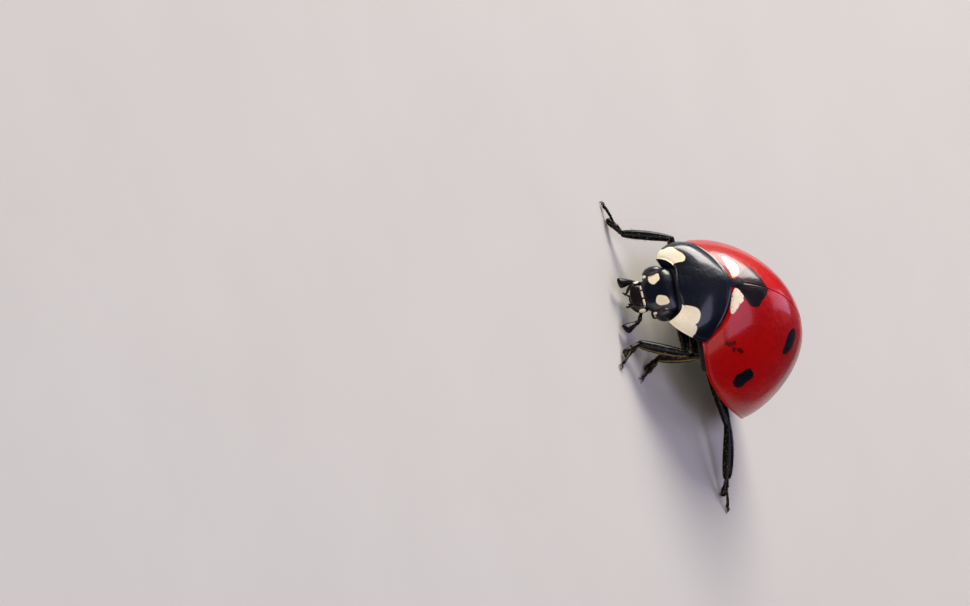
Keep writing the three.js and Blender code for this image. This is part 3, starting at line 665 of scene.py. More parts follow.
# Outlines of the marks in (y, turn in degrees) on each wing case.
SCUTELLAR_SPOT = {
    "left": [(-0.3, -6), (-0.2, 5), (0.08, 5.4), (0.26, 11.5), (0.39, 16.8), (0.51, 19.2), (0.66, 18.8),
             (0.77, 16.3), (0.8, 12.1), (0.87, 8.4), (0.93, 4.4), (0.92, -6)],
    "right": [(-0.3, -6), (-0.2, 4), (0.08, 3), (0.21, 8.7), (0.38, 16.2), (0.52, 18.4), (0.64, 17),
              (0.7, 12.3), (0.79, 8), (0.86, 3.8), (0.9, -6)],
}
IVORY_MARK = {
    "left": [(0.1, 6.4), (0.18, 6.6), (0.25, 9.9), (0.3, 14.2), (0.31, 18), (0.26, 22.5), (0.25, 28.2),
             (0.22, 32.7), (0.18, 33.9), (0.14, 31.8), (0.08, 22.6), (0.06, 12.9)],
    "right": [(0.07, 5.6), (0.16, 7.4), (0.24, 12.3), (0.27, 16.8), (0.28, 23.1), (0.23, 27.6), (0.18, 32),
              (0.1, 32.3), (0.06, 23.6), (0.05, 15.2)],
}
LATERAL_SPOT = [(1.72, 70), (1.64, 68), (1.56, 64), (1.62, 59.4), (1.65, 56.2), (1.73, 54.2), (1.88, 53.8),
                (2.07, 54.9), (2.15, 57), (2.09, 61.5), (2.12, 65.2), (2.06, 69.2), (1.92, 70.8)]
DISCAL_SPOT = [(2.69, 31.1), (2.58, 30), (2.5, 25.9), (2.42, 21.6), (2.46, 17.5), (2.61, 14.2), (2.82, 13.3),
               (2.97, 15.3), (3.05, 19.3), (3.06, 23.4), (2.98, 26.7), (2.9, 29.5)]
REAR_SPOT = [(4.05, 44), (3.98, 37), (4.1, 31), (4.35, 28), (4.6, 30), (4.68, 37), (4.6, 45), (4.35, 49)]
# Scuffs are short dark scratches, as (y, turn) at their two ends and a half width.
SCUFFS = [((0.52, 56.5), (0.66, 52.4), 0.07), ((0.8, 54.6), (1.02, 50.4), 0.06),
          ((0.6, 53.5), (0.86, 55.5), 0.03)]

hind_rows = shield_top[SHIELD_ROWS // 2:].reshape(-1, 3)
under_rows = shield_under[SHIELD_ROWS // 2:].reshape(-1, 3)
rim_rows = np.concatenate([blend(shield_top[-1], shield_under[-1], t) for t in np.linspace(0, 1, 14)])
shield_points = [trunk_frame.inverted() @ prothorax_frame @ Vector(p)
                 for p in np.vstack([hind_rows, under_rows, rim_rows])]
shield_tree = KDTree(len(shield_points))
for k, point in enumerate(shield_points):
    shield_tree.insert(point, k)
shield_tree.balance()


def elytron_starts(turns):
    """For each turn, the y at which the wing case comes clear of the pronotum's hind edge."""
    probe = np.linspace(ELYTRON_FRONT, SEAM_REACH, 120)
    starts = []
    for turn in turns:
        near = [shield_tree.find(Vector(p))[2] < SHIELD_SEAM for p in dome(probe, turn)]
        starts.append(probe[np.flatnonzero(near)[-1]] if any(near) else ELYTRON_FRONT)
    kernel = np.hanning(9) / np.hanning(9).sum()
    return np.convolve(np.pad(starts, 4, mode="edge"), kernel, mode="valid")


def elytron(side):
    """Shell of one wing case, and the depth of each point in its black, ivory and scuff marks."""
    sign = 1 if side == "left" else -1
    turn = np.concatenate([SUTURE_TURNS, np.linspace(0.032, pi / 2, 96)])
    starts = elytron_starts(sign * turn)
    rows = 0.5 - 0.5 * np.cos(np.linspace(0, pi, 170))
    y = starts[None] + (ELYTRON_END - starts[None]) * rows[:, None]
    turn = np.broadcast_to(turn, y.shape)
    outer = dome(y, sign * turn)
    outer[-1, :, 2] = margin_height(ELYTRON_END, sign > 0)

    def surface(a, b):
        return dome(a, sign * np.radians(b))

    angle = np.degrees(turn)
    spots = (SCUTELLAR_SPOT[side], LATERAL_SPOT, DISCAL_SPOT, REAR_SPOT)
    black = np.max([mark_depth(outer, y, angle, spot, surface) for spot in spots], axis=0)
    ivory = mark_depth(outer, y, angle, IVORY_MARK[side], surface)
    scuff = np.full(y.shape, OUTSIDE)
    if side == "left":
        for start, end, width in SCUFFS:
            line = surface(*np.linspace(start, end, 6).T)
            scuff = np.maximum(scuff, width - distance_to(outer, line))

    lift = bead(distance_to(outer, surface(np.linspace(ELYTRON_FRONT, ELYTRON_END, 400), 90.0)))
    width, depth = SUTURE_BEVEL
    lift = lift - depth * np.maximum(0, 1 - np.abs(outer[..., 0]) / width) ** 2
    width, depth = FRONT_ROUNDING
    lift = lift - depth * np.maximum(0, 1 - np.linalg.norm(outer - outer[:1], axis=-1) / width) ** 2
    shell = outer + grid_normals(outer, SHELL_CENTRE) * lift[..., None]
    shell[-1] = outer[-1]
    inner = SHELL_CENTRE + (outer - SHELL_CENTRE) * SHELL_SCALE
    for grid in (shell, inner):
        grid[..., 0] += sign * SUTURE_GAP / 2
    marks = {"black": face_marks(black), "ivory": face_marks(ivory), "scuff": face_marks(scuff)}
    return plate(shell, inner), marks


# Chitin with red pigment in its outer layer, under a hard clear skin: wet gloss, fine
# pits painted darker red as painted shade, and spots whose edges are cut by the same pits.
elytron_cuticle, tree, shader, where = new_material(
    "lacquered_red_chitin", IOR=1.25, Roughness=0.34, Specular_Tint=colour("#ffb0b8"), Coat_Weight=0.62,
    Coat_Roughness=0.15, Coat_IOR=1.42,
)
grain = node(tree, "ShaderNodeTexNoise", {"Vector": where, "Scale": per(0.07), "Detail": 2.0})
cloud = node(tree, "ShaderNodeTexNoise", {"Vector": where, "Scale": per(1.4), "Detail": 4.0})
cloud = node(tree, "ShaderNodeMapRange", {"Value": cloud, "From Min": 0.35, "From Max": 0.65})
pit = node(tree, "ShaderNodeTexVoronoi", {"Vector": where, "Scale": per(0.085), "Randomness": 0.8})
pit = node(tree, "ShaderNodeMapRange", {"Value": pit, "From Min": 0.26, "From Max": 0.1})
tint = node(tree, "ShaderNodeMix", {0: cloud, 1: colour("#a40200"), 2: colour("#bb0501")}, data_type="RGBA")
# Painted shade: each pit is painted a darker red.
pit_shade = node(tree, "ShaderNodeMath", {0: pit, 1: 0.3}, operation="MULTIPLY")
tint = node(tree, "ShaderNodeMix", {0: pit_shade, 1: tint.outputs[2], 2: colour("#7c0301")}, data_type="RGBA")
ragged = node(tree, "ShaderNodeMath", {0: grain, 1: 0.05, 2: -0.025}, operation="MULTIPLY_ADD")
smear = node(tree, "ShaderNodeTexNoise", {"Vector": where, "Scale": per(0.13), "Detail": 3.0})
smeared = node(tree, "ShaderNodeMath", {0: smear, 1: 0.36, 2: -0.18}, operation="MULTIPLY_ADD")
speck = node(tree, "ShaderNodeTexVoronoi", {"Vector": where, "Scale": per(0.075), "Randomness": 0.9})
speck = node(tree, "ShaderNodeMapRange", {"Value": speck, "From Min": 0.32, "From Max": 0.2})
pigments = (
    ("scuff", "#4a0502", 0.05, smeared),
    ("ivory", "#fbeccb", 0.012, ragged),
    # The spots are black pigment; their faint blue cast is painted reflection.
    ("black", "#06080f", 0.012, ragged),
)
for name, code, soft, wave in pigments:
    depth = node(tree, "ShaderNodeAttribute", attribute_name=name).outputs["Fac"]
    wavy = node(tree, "ShaderNodeMath", {0: depth, 1: wave}, operation="ADD")
    share = node(
        tree, "ShaderNodeMapRange", {"Value": wavy, "From Min": -soft, "From Max": soft},
        interpolation_type="SMOOTHSTEP",
    )
    paint = colour(code)
    if name == "ivory":
        near_edge = node(tree, "ShaderNodeMapRange", {"Value": depth, "From Min": 0.1, "From Max": 0.03})
        dots = node(tree, "ShaderNodeMath", {0: speck, 1: near_edge}, operation="MULTIPLY")
        paint = node(
            tree, "ShaderNodeMix", {0: dots, 1: paint, 2: colour("#3a1a10")}, data_type="RGBA"
        ).outputs[2]
    tint = node(tree, "ShaderNodeMix", {0: share, 1: tint.outputs[2], 2: paint}, data_type="RGBA")
height = node(tree, "ShaderNodeMath", {0: pit, 1: -1.0, 2: 1.0}, operation="MULTIPLY_ADD")
height = node(tree, "ShaderNodeMath", {0: grain, 1: 0.4, 2: height}, operation="MULTIPLY_ADD")
fine = node(tree, "ShaderNodeBump", {"Height": height, "Strength": 0.6, "Distance": 0.008 * MM})
swell = node(
    tree, "ShaderNodeTexNoise", {"Vector": where, "Scale": per(0.46), "Detail": 6.0, "Roughness": 0.68}
)
bump = node(
    tree, "ShaderNodeBump", {"Height": swell, "Strength": 0.9, "Distance": 0.055 * MM, "Normal": fine}
)
dress(tree, shader, tint, bump)

for side in ("left", "right"):
    shape, marks = elytron(side)
    make_piece(f"elytron_{side}_shell", [shape], trunk_frame, elytron_cuticle, [f"elytron_{side}"],
               marks)


def scutellum():
    """Small raised triangle on the crest, pointing to the rear, with rounded edges."""
    rings = []
    steps = ((0.0, SCUTELLUM["thickness"]), (0.0, 0.03), (0.04, 0.0), (0.4, -0.006), (0.8, -0.008))
    for inset, drop in steps:
        ring = []
        for s in np.linspace(-1, 1, 41):
            ring.append((s * (1 - inset), SCUTELLUM["length"] * (1 - abs(s)) * (1 - inset)))
        for s in np.linspace(1, -1, 20)[1:-1]:
            ring.append((s * (1 - inset), 0))
        x, y = np.array(ring).T
        x, y = x * SCUTELLUM["half_width"], SCUTELLUM["front"] + y + 0.1 * inset
        left = x >= 0
        across = np.minimum(1, np.abs(x) / plan_half_width(y, left))
        z = margin_height(y, left) + crest_height(y, left) * arch_height(across)
        rings.append(np.stack([x, y, z + SCUTELLUM["proud"] - drop], -1))
    return rings_shape(rings)


triangle = scutellum()
make_piece("scutellum_plate", [triangle], trunk_frame, shield_cuticle, ["scutellum"],
           {"ivory": np.full(len(triangle[0]), OUTSIDE)})

# ---- Head ----------------------------------------------------------------------------
# The head capsule is one black casting of chitin, bent down under the pronotum. Its brow
# carries two ivory spots between the eyes, and its front edge is the clypeus, closed by
# a pale band of soft skin to which the upper lip is hinged.

HEAD_PIVOT, HEAD_TURN = Vector((0, -1.2, 1.35)), (4, 12, 0)
head_frame = hinged(prothorax_frame, HEAD_PIVOT, HEAD_TURN)
FACE_CENTRE, FACE_TIP = np.array((0, -1.349, 1.049)), radians(45)
FACE_UP, FACE_OUT = np.array((0, cos(FACE_TIP), sin(FACE_TIP))), np.array((0, -sin(FACE_TIP), cos(FACE_TIP)))
# Height up the face, half width, and how far its front and its back stand out.
CAPSULE = [
    (-0.6, 0.0, 0.26, 0.2), (-0.59, 0.32, 0.37, 0.1), (-0.56, 0.44, 0.415, 0.02), (-0.48, 0.53, 0.43, -0.05),
    (-0.36, 0.63, 0.435, -0.15), (-0.22, 0.69, 0.435, -0.26), (-0.08, 0.73, 0.438, -0.36),
    (0.08, 0.79, 0.435, -0.42), (0.22, 0.82, 0.405, -0.44), (0.36, 0.78, 0.335, -0.4),
    (0.49, 0.66, 0.23, -0.3), (0.6, 0.43, 0.11, -0.16), (0.66, 0.2, 0.03, -0.05), (0.68, 0.0, 0.0, 0.0),
]
CAPSULE_POWER = 2.5
BROW_SPOT = {
    "right": [(-0.6, -0.25), (-0.61, -0.118), (-0.6, 0.021), (-0.53, 0.087), (-0.354, 0.069),
              (-0.285, -0.027), (-0.228, -0.136), (-0.289, -0.226), (-0.415, -0.286)],
    "left": [(0.177, -0.124), (0.189, 0.003), (0.254, 0.136), (0.37, 0.196), (0.473, 0.2), (0.513, 0.1),
             (0.493, -0.087), (0.42, -0.19), (0.315, -0.208)],
}
# Each pale dot beside an eye: its place across, up and out of the face.
CHEEK_DOTS = [(-0.6, -0.4, 0.295), (0.665, -0.34, 0.25)]
CHEEK_DOT_SIZE = (0.048, 0.072, 0.062)
CHEEK_DOT_ENDS = [(-1, 0), (-0.9, 0.4), (-0.5, 0.85), (0, 1), (0.5, 0.85), (0.9, 0.4), (1, 0)]


def on_face(x, up, out):
    x, up, out = np.broadcast_arrays(*(np.asarray(v, float) for v in (x, up, out)))
    return FACE_CENTRE + x[..., None] * (1, 0, 0) + up[..., None] * FACE_UP + out[..., None] * FACE_OUT


profile = smooth_line(CAPSULE, 8)
profile[:, 1] = np.maximum(profile[:, 1], 0)
turn = np.linspace(0, 2 * pi, 120, endpoint=False)
c, s = (np.sign(v) * np.abs(v) ** (2 / CAPSULE_POWER) for v in (np.cos(turn), np.sin(turn)))
up, half, front, back = (profile[:, k, None] for k in range(4))
capsule = on_face(half * c, up + 0 * c, (front + back) / 2 + (front - back) / 2 * s)
face_x, face_up = half * c, np.broadcast_to(up, (len(profile), len(turn)))


def capsule_front(x, a):
    """Point on the front of the capsule at x across and a up the face."""
    x, a = np.broadcast_arrays(np.asarray(x, float), np.asarray(a, float))
    half, front, back = (np.interp(a, profile[:, 0], profile[:, k]) for k in (1, 2, 3))
    bulge = superellipse(np.clip(x / np.maximum(half, 1e-6), -1, 1), CAPSULE_POWER)
    return on_face(x, a, (front + back) / 2 + (front - back) / 2 * bulge)


spots = [mark_depth(capsule, face_x, face_up, spot, capsule_front) for spot in BROW_SPOT.values()]
spots = np.where(s > 0, np.maximum(*spots), OUTSIDE)
cheeks = []
for x, a, out in CHEEK_DOTS:
    w, h, d = CHEEK_DOT_SIZE
    stations = [(*on_face(x, a + t * h, out), w * r, d * r) for t, r in CHEEK_DOT_ENDS]
    cheeks.append(tube(stations, FACE_OUT, steps=3))
spots = np.concatenate([spots.ravel(), np.full(sum(len(points) for points, _ in cheeks), 1.0)])
make_piece(
    "head_capsule", [(capsule.reshape(-1, 3), grid_faces(len(profile), len(turn), around=True)), *cheeks],
    head_frame, shield_cuticle, ["head"], {"ivory": spots},
)

# ---- Eyes ----------------------------------------------------------------------------
# Compound eyes: kidney domes of hundreds of tiny lenses, dark brown under clear cuticle,
# each sunk in a rim of the head capsule.

# Centre of each eye, and half its width, its height up the face and its depth.
EYES = {
    "left": ((0.71, -1.438, 1.052), (0.23, 0.3, 0.33)),
    "right": ((-0.71, -1.475, 1.015), (0.23, 0.35, 0.33)),
}

# Clear chitin lenses over dark pigment. Real lenses are 0.015 mm wide; they are drawn at
# 0.03 mm so that they show.
eye_lens, tree, shader, where = new_material(
    "faceted_eye_chitin", IOR=1.45, Roughness=0.4, Coat_Weight=0.3, Coat_Roughness=0.28
)
facet = node(tree, "ShaderNodeTexVoronoi", {"Vector": where, "Scale": per(0.03), "Randomness": 0.15})
dark = node(tree, "ShaderNodeTexNoise", {"Vector": where, "Scale": per(0.3), "Detail": 2.0})
tint = node(tree, "ShaderNodeMix", {0: dark, 1: colour("#0b0c12"), 2: colour("#1e1a18")}, data_type="RGBA")
bump = node(
    tree, "ShaderNodeBump", {"Height": facet, "Strength": 0.3, "Distance": 0.004 * MM}, invert=True
)
dress(tree, shader, tint, bump)

for side, (centre, radii) in EYES.items():
    ball = tipped(rounded_body(radii, 26, 48), FACE_TIP, centre)
    make_piece(f"eye_{side}_dome", [ball], head_frame, eye_lens, [f"eye_{side}"])

# ---- Mouthparts ----------------------------------------------------------------------
# A lip plate hinged to the clypeus covers two short biting jaws. Behind them the lower
# lip carries two small feelers, and the large feelers at its sides end in an axe-shaped
# joint. The lip plate, jaws, lower lip and small feelers are thin brown chitin, darker where
# it is thick; the large feelers are the legs' polished black chitin.

LABRUM = [(-2.05, 0.93, 0.0), (-2.07, 0.91, 0.33), (-2.1, 0.895, 0.39), (-2.22, 0.84, 0.4),
          (-2.33, 0.775, 0.34), (-2.39, 0.735, 0.2), (-2.41, 0.72, 0.0)]
LABRUM_SIDE, LABRUM_HALF_THICKNESS, LABRUM_EDGE, LABRUM_SINK = 0.05, 0.05, 0.2, 0.7
# Each bar of the pale band: from and to across the face, and half its width.
PALE_BARS = [(-0.31, -0.17, 0.03), (-0.12, 0.1, 0.034), (0.15, 0.37, 0.036)]
PALE_BAR_ENDS = [(0, 0), (0.04, 0.7), (0.2, 1), (0.8, 1), (0.96, 0.7), (1, 0)]
BAND_UP, BAND_OUT, BAND_BOW = -0.59, 0.425, 0.04
MANDIBLE = [(0.4, -1.82, 0.74, 0, 0), (0.42, -1.87, 0.74, 0.08, 0.12), (0.455, -2.04, 0.73, 0.075, 0.13),
            (0.42, -2.2, 0.68, 0.07, 0.1), (0.28, -2.33, 0.61, 0.05, 0.06), (0.17, -2.39, 0.56, 0.02, 0.03),
            (0.15, -2.4, 0.56, 0, 0)]
JAW_PATCH, JAW_PATCH_REACH = (0.53, -2.1, 0.79), 0.13
LABIUM = [(0, -1.7, 0.62, 0, 0), (0, -1.75, 0.58, 0.22, 0.12), (0, -1.95, 0.5, 0.3, 0.16),
          (0, -2.12, 0.5, 0.24, 0.13), (0, -2.22, 0.53, 0.12, 0.08), (0, -2.25, 0.54, 0, 0)]
LIP_FEELER = [(0.12, -2.12, 0.45), (0.2, -2.26, 0.42), (0.24, -2.38, 0.46), (0.24, -2.47, 0.5)]
LIP_FEELER_RADII = [0.035, 0.04, 0.03]
PALP = {
    "left": [(0.33, -1.88, 0.53), (0.51, -2.01, 0.577), (0.8, -2.21, 0.65), (0.91, -2.43, 0.687),
             (1.1, -2.88, 0.64)],
    "right": [(-0.506, -1.823, 0.506), (-0.554, -1.934, 0.585), (-0.535, -2.13, 0.698),
              (-0.493, -2.328, 0.807), (-0.45, -2.78, 0.785)],
}
PALP_RADII = [0.06, 0.065, 0.07]
# Place along a feeler's joint, and its width and depth in half widths.
LIP_JOINT = [(0, 0, 0), (0.08, 0.6, 0.6), (0.6, 1, 1), (0.95, 0.7, 0.7), (1, 0, 0)]
PALP_JOINT = [(-0.03, 0, 0), (0.04, 0.7, 0.7), (0.7, 1.15, 1), (0.97, 0.85, 0.8), (1.02, 0, 0)]
AXE = [(-0.08, 0, 0), (-0.04, 0.05, 0.05), (0.12, 0.095, 0.075), (0.45, 0.14, 0.09), (0.86, 0.18, 0.09),
       (0.98, 0.15, 0.06), (1.0, 0, 0)]

# Thin chitin, part tanned: dark brown, near black where it is thick.
brown_cuticle, tree, shader, where = new_material(
    "brown_mouth_chitin", IOR=1.3, Roughness=0.3, Coat_Weight=0.2, Coat_Roughness=0.15
)
cloud = node(tree, "ShaderNodeTexNoise", {"Vector": where, "Scale": per(0.3), "Detail": 3.0})
tint = node(tree, "ShaderNodeMix", {0: cloud, 1: colour("#090706"), 2: colour("#1a100b")}, data_type="RGBA")
grain = node(tree, "ShaderNodeTexNoise", {"Vector": where, "Scale": per(0.04), "Detail": 2.0})
bump = node(tree, "ShaderNodeBump", {"Height": grain, "Strength": 0.2, "Distance": 0.006 * MM})
pale = node(tree, "ShaderNodeAttribute", attribute_name="pale").outputs["Fac"]
pale = node(tree, "ShaderNodeMapRange", {"Value": pale, "From Min": 0.005, "From Max": 0.03})
tint = node(tree, "ShaderNodeMix", {0: pale, 1: tint.outputs[2], 2: colour("#f0e4c2")}, data_type="RGBA")
dress(tree, shader, tint, bump)

# Soft untanned skin between the hard plates: cream, satin, with a fine leathery grain.
cream_skin, tree, shader, where = new_material("cream_soft_cuticle", IOR=1.5, Roughness=0.42)
cloud = node(tree, "ShaderNodeTexNoise", {"Vector": where, "Scale": per(0.15), "Detail": 3.0})
tint = node(tree, "ShaderNodeMix", {0: cloud, 1: colour("#cfbd90"), 2: colour("#f4ead0")}, data_type="RGBA")
grain = node(tree, "ShaderNodeTexNoise", {"Vector": where, "Scale": per(0.04), "Detail": 2.0})
bump = node(tree, "ShaderNodeBump", {"Height": grain, "Strength": 0.25, "Distance": 0.006 * MM})
dress(tree, shader, tint, bump)

half_thick = LABRUM_HALF_THICKNESS
sunk = half_thick * LABRUM_SINK
stations = [(LABRUM_SIDE, y + sunk, z - sunk, w, half_thick * min(1, w / LABRUM_EDGE)) for y, z, w in LABRUM]
labrum = tube(stations, FACE_OUT, sides=40, power=2.6)
make_piece("labrum_plate", [labrum], head_frame, brown_cuticle, ["labrum"])
bars = []
for start, end, r in PALE_BARS:
    places = [(blend(start, end, t), size * r) for t, size in PALE_BAR_ENDS]
    stations = [
        (*on_face(x, BAND_UP + BAND_BOW * x * x, BAND_OUT - BAND_BOW * x * x), w, w) for x, w in places
    ]
    bars.append(tube(stations, FACE_OUT, steps=3))
make_piece("clypeus_band", bars, head_frame, cream_skin, [])
labium = tube(LABIUM, (0, 0.2, 1), sides=32)


def joints_of(points, radii, profile):
    """One tube for each joint of a feeler."""
    return [
        tube([(*blend(start, end, t), w * r, d * r) for t, w, d in profile], (0, 0, 1))
        for start, end, r in zip(points, points[1:], radii)
    ]


feelers = []
for sign in (-1, 1):
    feelers += joints_of([np.array(p) * (sign, 1, 1) for p in LIP_FEELER], LIP_FEELER_RADII, LIP_JOINT)
make_piece("labium_plate", [labium, *feelers], head_frame, brown_cuticle, ["labium"])
haired_mouth = [labrum, *feelers]
for side, sign in (("left", 1), ("right", -1)):
    jaw = tube([(x * sign, y, z, w, d) for x, y, z, w, d in MANDIBLE], (0, 0.3, 1), sides=24)
    from_patch = np.linalg.norm(jaw[0] - np.array(JAW_PATCH) * (sign, 1, 1), axis=1)
    make_piece(f"mandible_{side}_jaw", [jaw], head_frame, brown_cuticle, [f"mandible_{side}"],
               {"pale": JAW_PATCH_REACH - from_patch})
    joints = [np.array(p) for p in PALP[side]]
    feeler = joints_of(joints, PALP_RADII, PALP_JOINT)
    start, end = joints[-2:]
    feeler.append(tube([(*blend(start, end, t), w, d) for t, w, d in AXE], FACE_OUT, sides=26))
    make_piece(f"palp_{side}_feeler", feeler, head_frame, leg_cuticle, [f"palp_{side}"],
               {"broadside": np.ones(sum(len(points) for points, _ in feeler))})
    haired_mouth += feeler

# ---- Antennae ------------------------------------------------------------------------
# Short feelers of eleven joints, folded back under the head: a stout root joint, seven
# slim ones and a flattened club of three. Brown chitin with short pale hairs.

ANTENNA = [(0.56, -1.78, 0.9), (0.66, -1.6, 0.66), (0.6, -1.32, 0.46), (0.48, -1.06, 0.36),
           (0.38, -0.88, 0.34)]
# Length and half width of each joint, root to tip.
ANTENNA_JOINTS = [(0.16, 0.06), (0.09, 0.05), (0.11, 0.034), (0.08, 0.034), (0.08, 0.034), (0.07, 0.036),
                  (0.06, 0.042), (0.06, 0.052), (0.1, 0.082), (0.09, 0.092), (0.1, 0.078)]
# Place along a joint, and its width in half widths.
ANTENNA_JOINT = [(0, 0), (0.06, 0.55), (0.3, 0.85), (0.75, 1), (0.95, 0.75), (1, 0)]
ANTENNA_FLATNESS = 0.8
for side, sign in (("left", 1), ("right", -1)):
    line = smooth_line(ANTENNA, 40) * (sign, 1, 1)
    reach = np.concatenate([[0], np.cumsum(np.linalg.norm(np.diff(line, axis=0), axis=1))])
    total = sum(length for length, _ in ANTENNA_JOINTS)
    at, beads = 0.0, []
    for length, r in ANTENNA_JOINTS:
        stations = []
        for t, width in ANTENNA_JOINT:
            place = (at + t * length) * reach[-1] / total
            centre = [np.interp(place, reach, line[:, k]) for k in range(3)]
            stations.append((*centre, width * r, width * r * ANTENNA_FLATNESS))
        beads.append(tube(stations, (sign, 0, 0.3)))
        at += length
    make_piece(f"antenna_{side}_joints", beads, head_frame, brown_cuticle, [f"antenna_{side}"])
    haired_mouth += beads

# ---- Hairs ---------------------------------------------------------------------------
# Short straight bristles of pale clear chitin. They cover the legs and their pads, fringe
# the lip and the feelers, and thinly cover the belly. Each leans to the tip of the part it
# grows on.

# The belly's hair stands only on faces that look down, and the unwrap leaves a margin.
UNDERSIDE_SLOPE, UNWRAP_SHARE = -0.25, 0.94
STRAY, PATCH_SIZE, PATCH_SEED, TIP_SHARE, SIZES = 0.35, 0.003, 5, 0.15, (0.6, 1.1)
SHAFT_POINTS, SHAFT_SIDES = 4, 3


def hair_skin(name, shapes, place, underside=False):
    """Loose mesh of the parts that carry hair, with its unwrap and the way that the hair lies."""
    faces, lies, unwraps = [], [], []
    start = 0
    across = int(np.ceil(np.sqrt(len(shapes))))
    for k, (points, shape_faces) in enumerate(shapes):
        sides = shape_faces[0][3] - shape_faces[0][0]
        rows = len(points) // sides
        middle = points.reshape(rows, sides, 3).mean(1)
        lies.append(np.repeat(unit(np.gradient(middle, axis=0)), sides, axis=0))
        corner = np.array((k % across, k // across)) / across
        for face in shape_faces:
            if len(face) != 4:
                continue
            a, b, c, d = points[face]
            if underside and unit(np.cross(c - a, d - b))[2] > UNDERSIDE_SLOPE:
                continue
            row, column = divmod(face[0], sides)
            faces.append([point + start for point in face])
            cells = np.array(((column, row), (column + 1, row), (column + 1, row + 1), (column, row + 1)))
            unwraps += [*(corner + cells / (sides, rows - 1) * UNWRAP_SHARE / across)]
        start += len(points)
    mesh = bpy.data.meshes.new(name)
    mesh.from_pydata(np.vstack([points for points, _ in shapes]).tolist(), [], faces)
    mesh.uv_layers.new(name="OFBake").data.foreach_set("uv", np.ravel(unwraps))
    mesh.transform(Matrix.Scale(MM, 4) @ place)
    lie = np.vstack(lies) @ np.array(place.to_3x3()).T
    mesh.attributes.new("lie", "FLOAT_VECTOR", "POINT").data.foreach_set("vector", lie.ravel())
    return stand(name, mesh)


def bristle_tree():
    """Geometry nodes that grow bristles on a skin and unwrap each at its root."""
    tree = bpy.data.node_groups.new("bristles", "GeometryNodeTree")
    tree.interface.new_socket("Geometry", in_out="INPUT", socket_type="NodeSocketGeometry")
    for name, kind in (("Per Square Millimetre", "Float"), ("Length", "Float"), ("Thickness", "Float"),
                       ("Lean", "Float"), ("Seed", "Int"), ("Finish", "Material")):
        tree.interface.new_socket(name, in_out="INPUT", socket_type=f"NodeSocket{kind}")
    tree.interface.new_socket("Geometry", in_out="OUTPUT", socket_type="NodeSocketGeometry")
    given = tree.nodes.new("NodeGroupInput").outputs
    density = node(tree, "ShaderNodeMath", {0: given["Per Square Millimetre"], 1: 1e6}, operation="MULTIPLY")
    scatter = node(
        tree, "GeometryNodeDistributePointsOnFaces",
        {"Mesh": given["Geometry"], "Density": density, "Seed": given["Seed"]},
    )
    lie = node(tree, "GeometryNodeInputNamedAttribute", {"Name": "lie"}, data_type="FLOAT_VECTOR")
    swept = node(tree, "ShaderNodeVectorMath", {0: lie, "Scale": given["Lean"]}, operation="SCALE")
    stray = node(
        tree, "FunctionNodeRandomValue", {0: (-STRAY,) * 3, 1: (STRAY,) * 3, "Seed": given["Seed"]},
        data_type="FLOAT_VECTOR",
    )
    aim = node(tree, "ShaderNodeVectorMath", {0: scatter.outputs["Normal"], 1: swept}, operation="ADD")
    aim = node(tree, "ShaderNodeVectorMath", {0: aim, 1: stray}, operation="ADD")
    turn = node(tree, "FunctionNodeAlignRotationToVector", {"Vector": aim}, axis="Z")
    size = node(
        tree, "FunctionNodeRandomValue", {0: SIZES[0], 1: SIZES[1], "Seed": given["Seed"]}, data_type="FLOAT"
    )
    tip = node(tree, "ShaderNodeCombineXYZ", {2: given["Length"]})
    shaft = node(tree, "GeometryNodeCurvePrimitiveLine", {"End": tip})
    shaft = node(tree, "GeometryNodeResampleCurve", {"Curve": shaft, "Count": SHAFT_POINTS})
    along = node(tree, "GeometryNodeSplineParameter").outputs["Factor"]
    taper = node(tree, "ShaderNodeMapRange", {"Value": along, "To Min": 1.0, "To Max": TIP_SHARE})
    width = node(tree, "ShaderNodeMath", {0: taper, 1: given["Thickness"]}, operation="MULTIPLY")
    ring = node(tree, "GeometryNodeCurvePrimitiveCircle", {"Resolution": SHAFT_SIDES, "Radius": 1.0})
    shaft = node(
        tree, "GeometryNodeCurveToMesh",
        {"Curve": shaft, "Profile Curve": ring, "Scale": width, "Fill Caps": True},
    )
    placed = node(
        tree, "GeometryNodeInstanceOnPoints",
        {"Points": scatter.outputs["Points"], "Instance": shaft, "Rotation": turn, "Scale": size},
    )
    solid = node(tree, "GeometryNodeRealizeInstances", {"Geometry": placed})
    root = node(tree, "GeometryNodeInputNamedAttribute", {"Name": "OFBake"}, data_type="FLOAT_VECTOR")
    patch = node(
        tree, "FunctionNodeRandomValue",
        {0: (0.0, 0.0, 0.0), 1: (PATCH_SIZE, PATCH_SIZE, 0.0), "Seed": PATCH_SEED}, data_type="FLOAT_VECTOR",
    )
    spot = node(tree, "ShaderNodeVectorMath", {0: root, 1: patch}, operation="ADD")
    unwrapped = node(
        tree, "GeometryNodeStoreNamedAttribute", {"Geometry": solid, "Name": "OFBake", "Value": spot},
        data_type="FLOAT2", domain="CORNER",
    )
    finished = node(tree, "GeometryNodeSetMaterial", {"Geometry": unwrapped, "Material": given["Finish"]})
    tree.links.new(finished.outputs[0], tree.nodes.new("NodeGroupOutput").inputs[0])
    return tree


# Thin clear chitin hair: pale straw with a soft gloss along it.
bristle_chitin, tree, shader, where = new_material("straw_bristle_chitin", IOR=1.5, Roughness=0.4)
cloud = node(tree, "ShaderNodeTexNoise", {"Vector": where, "Scale": per(0.4), "Detail": 2.0})
tint = node(tree, "ShaderNodeMix", {0: cloud, 1: colour("#6b5526"), 2: colour("#c9b27a")}, data_type="RGBA")
dress(tree, shader, tint)

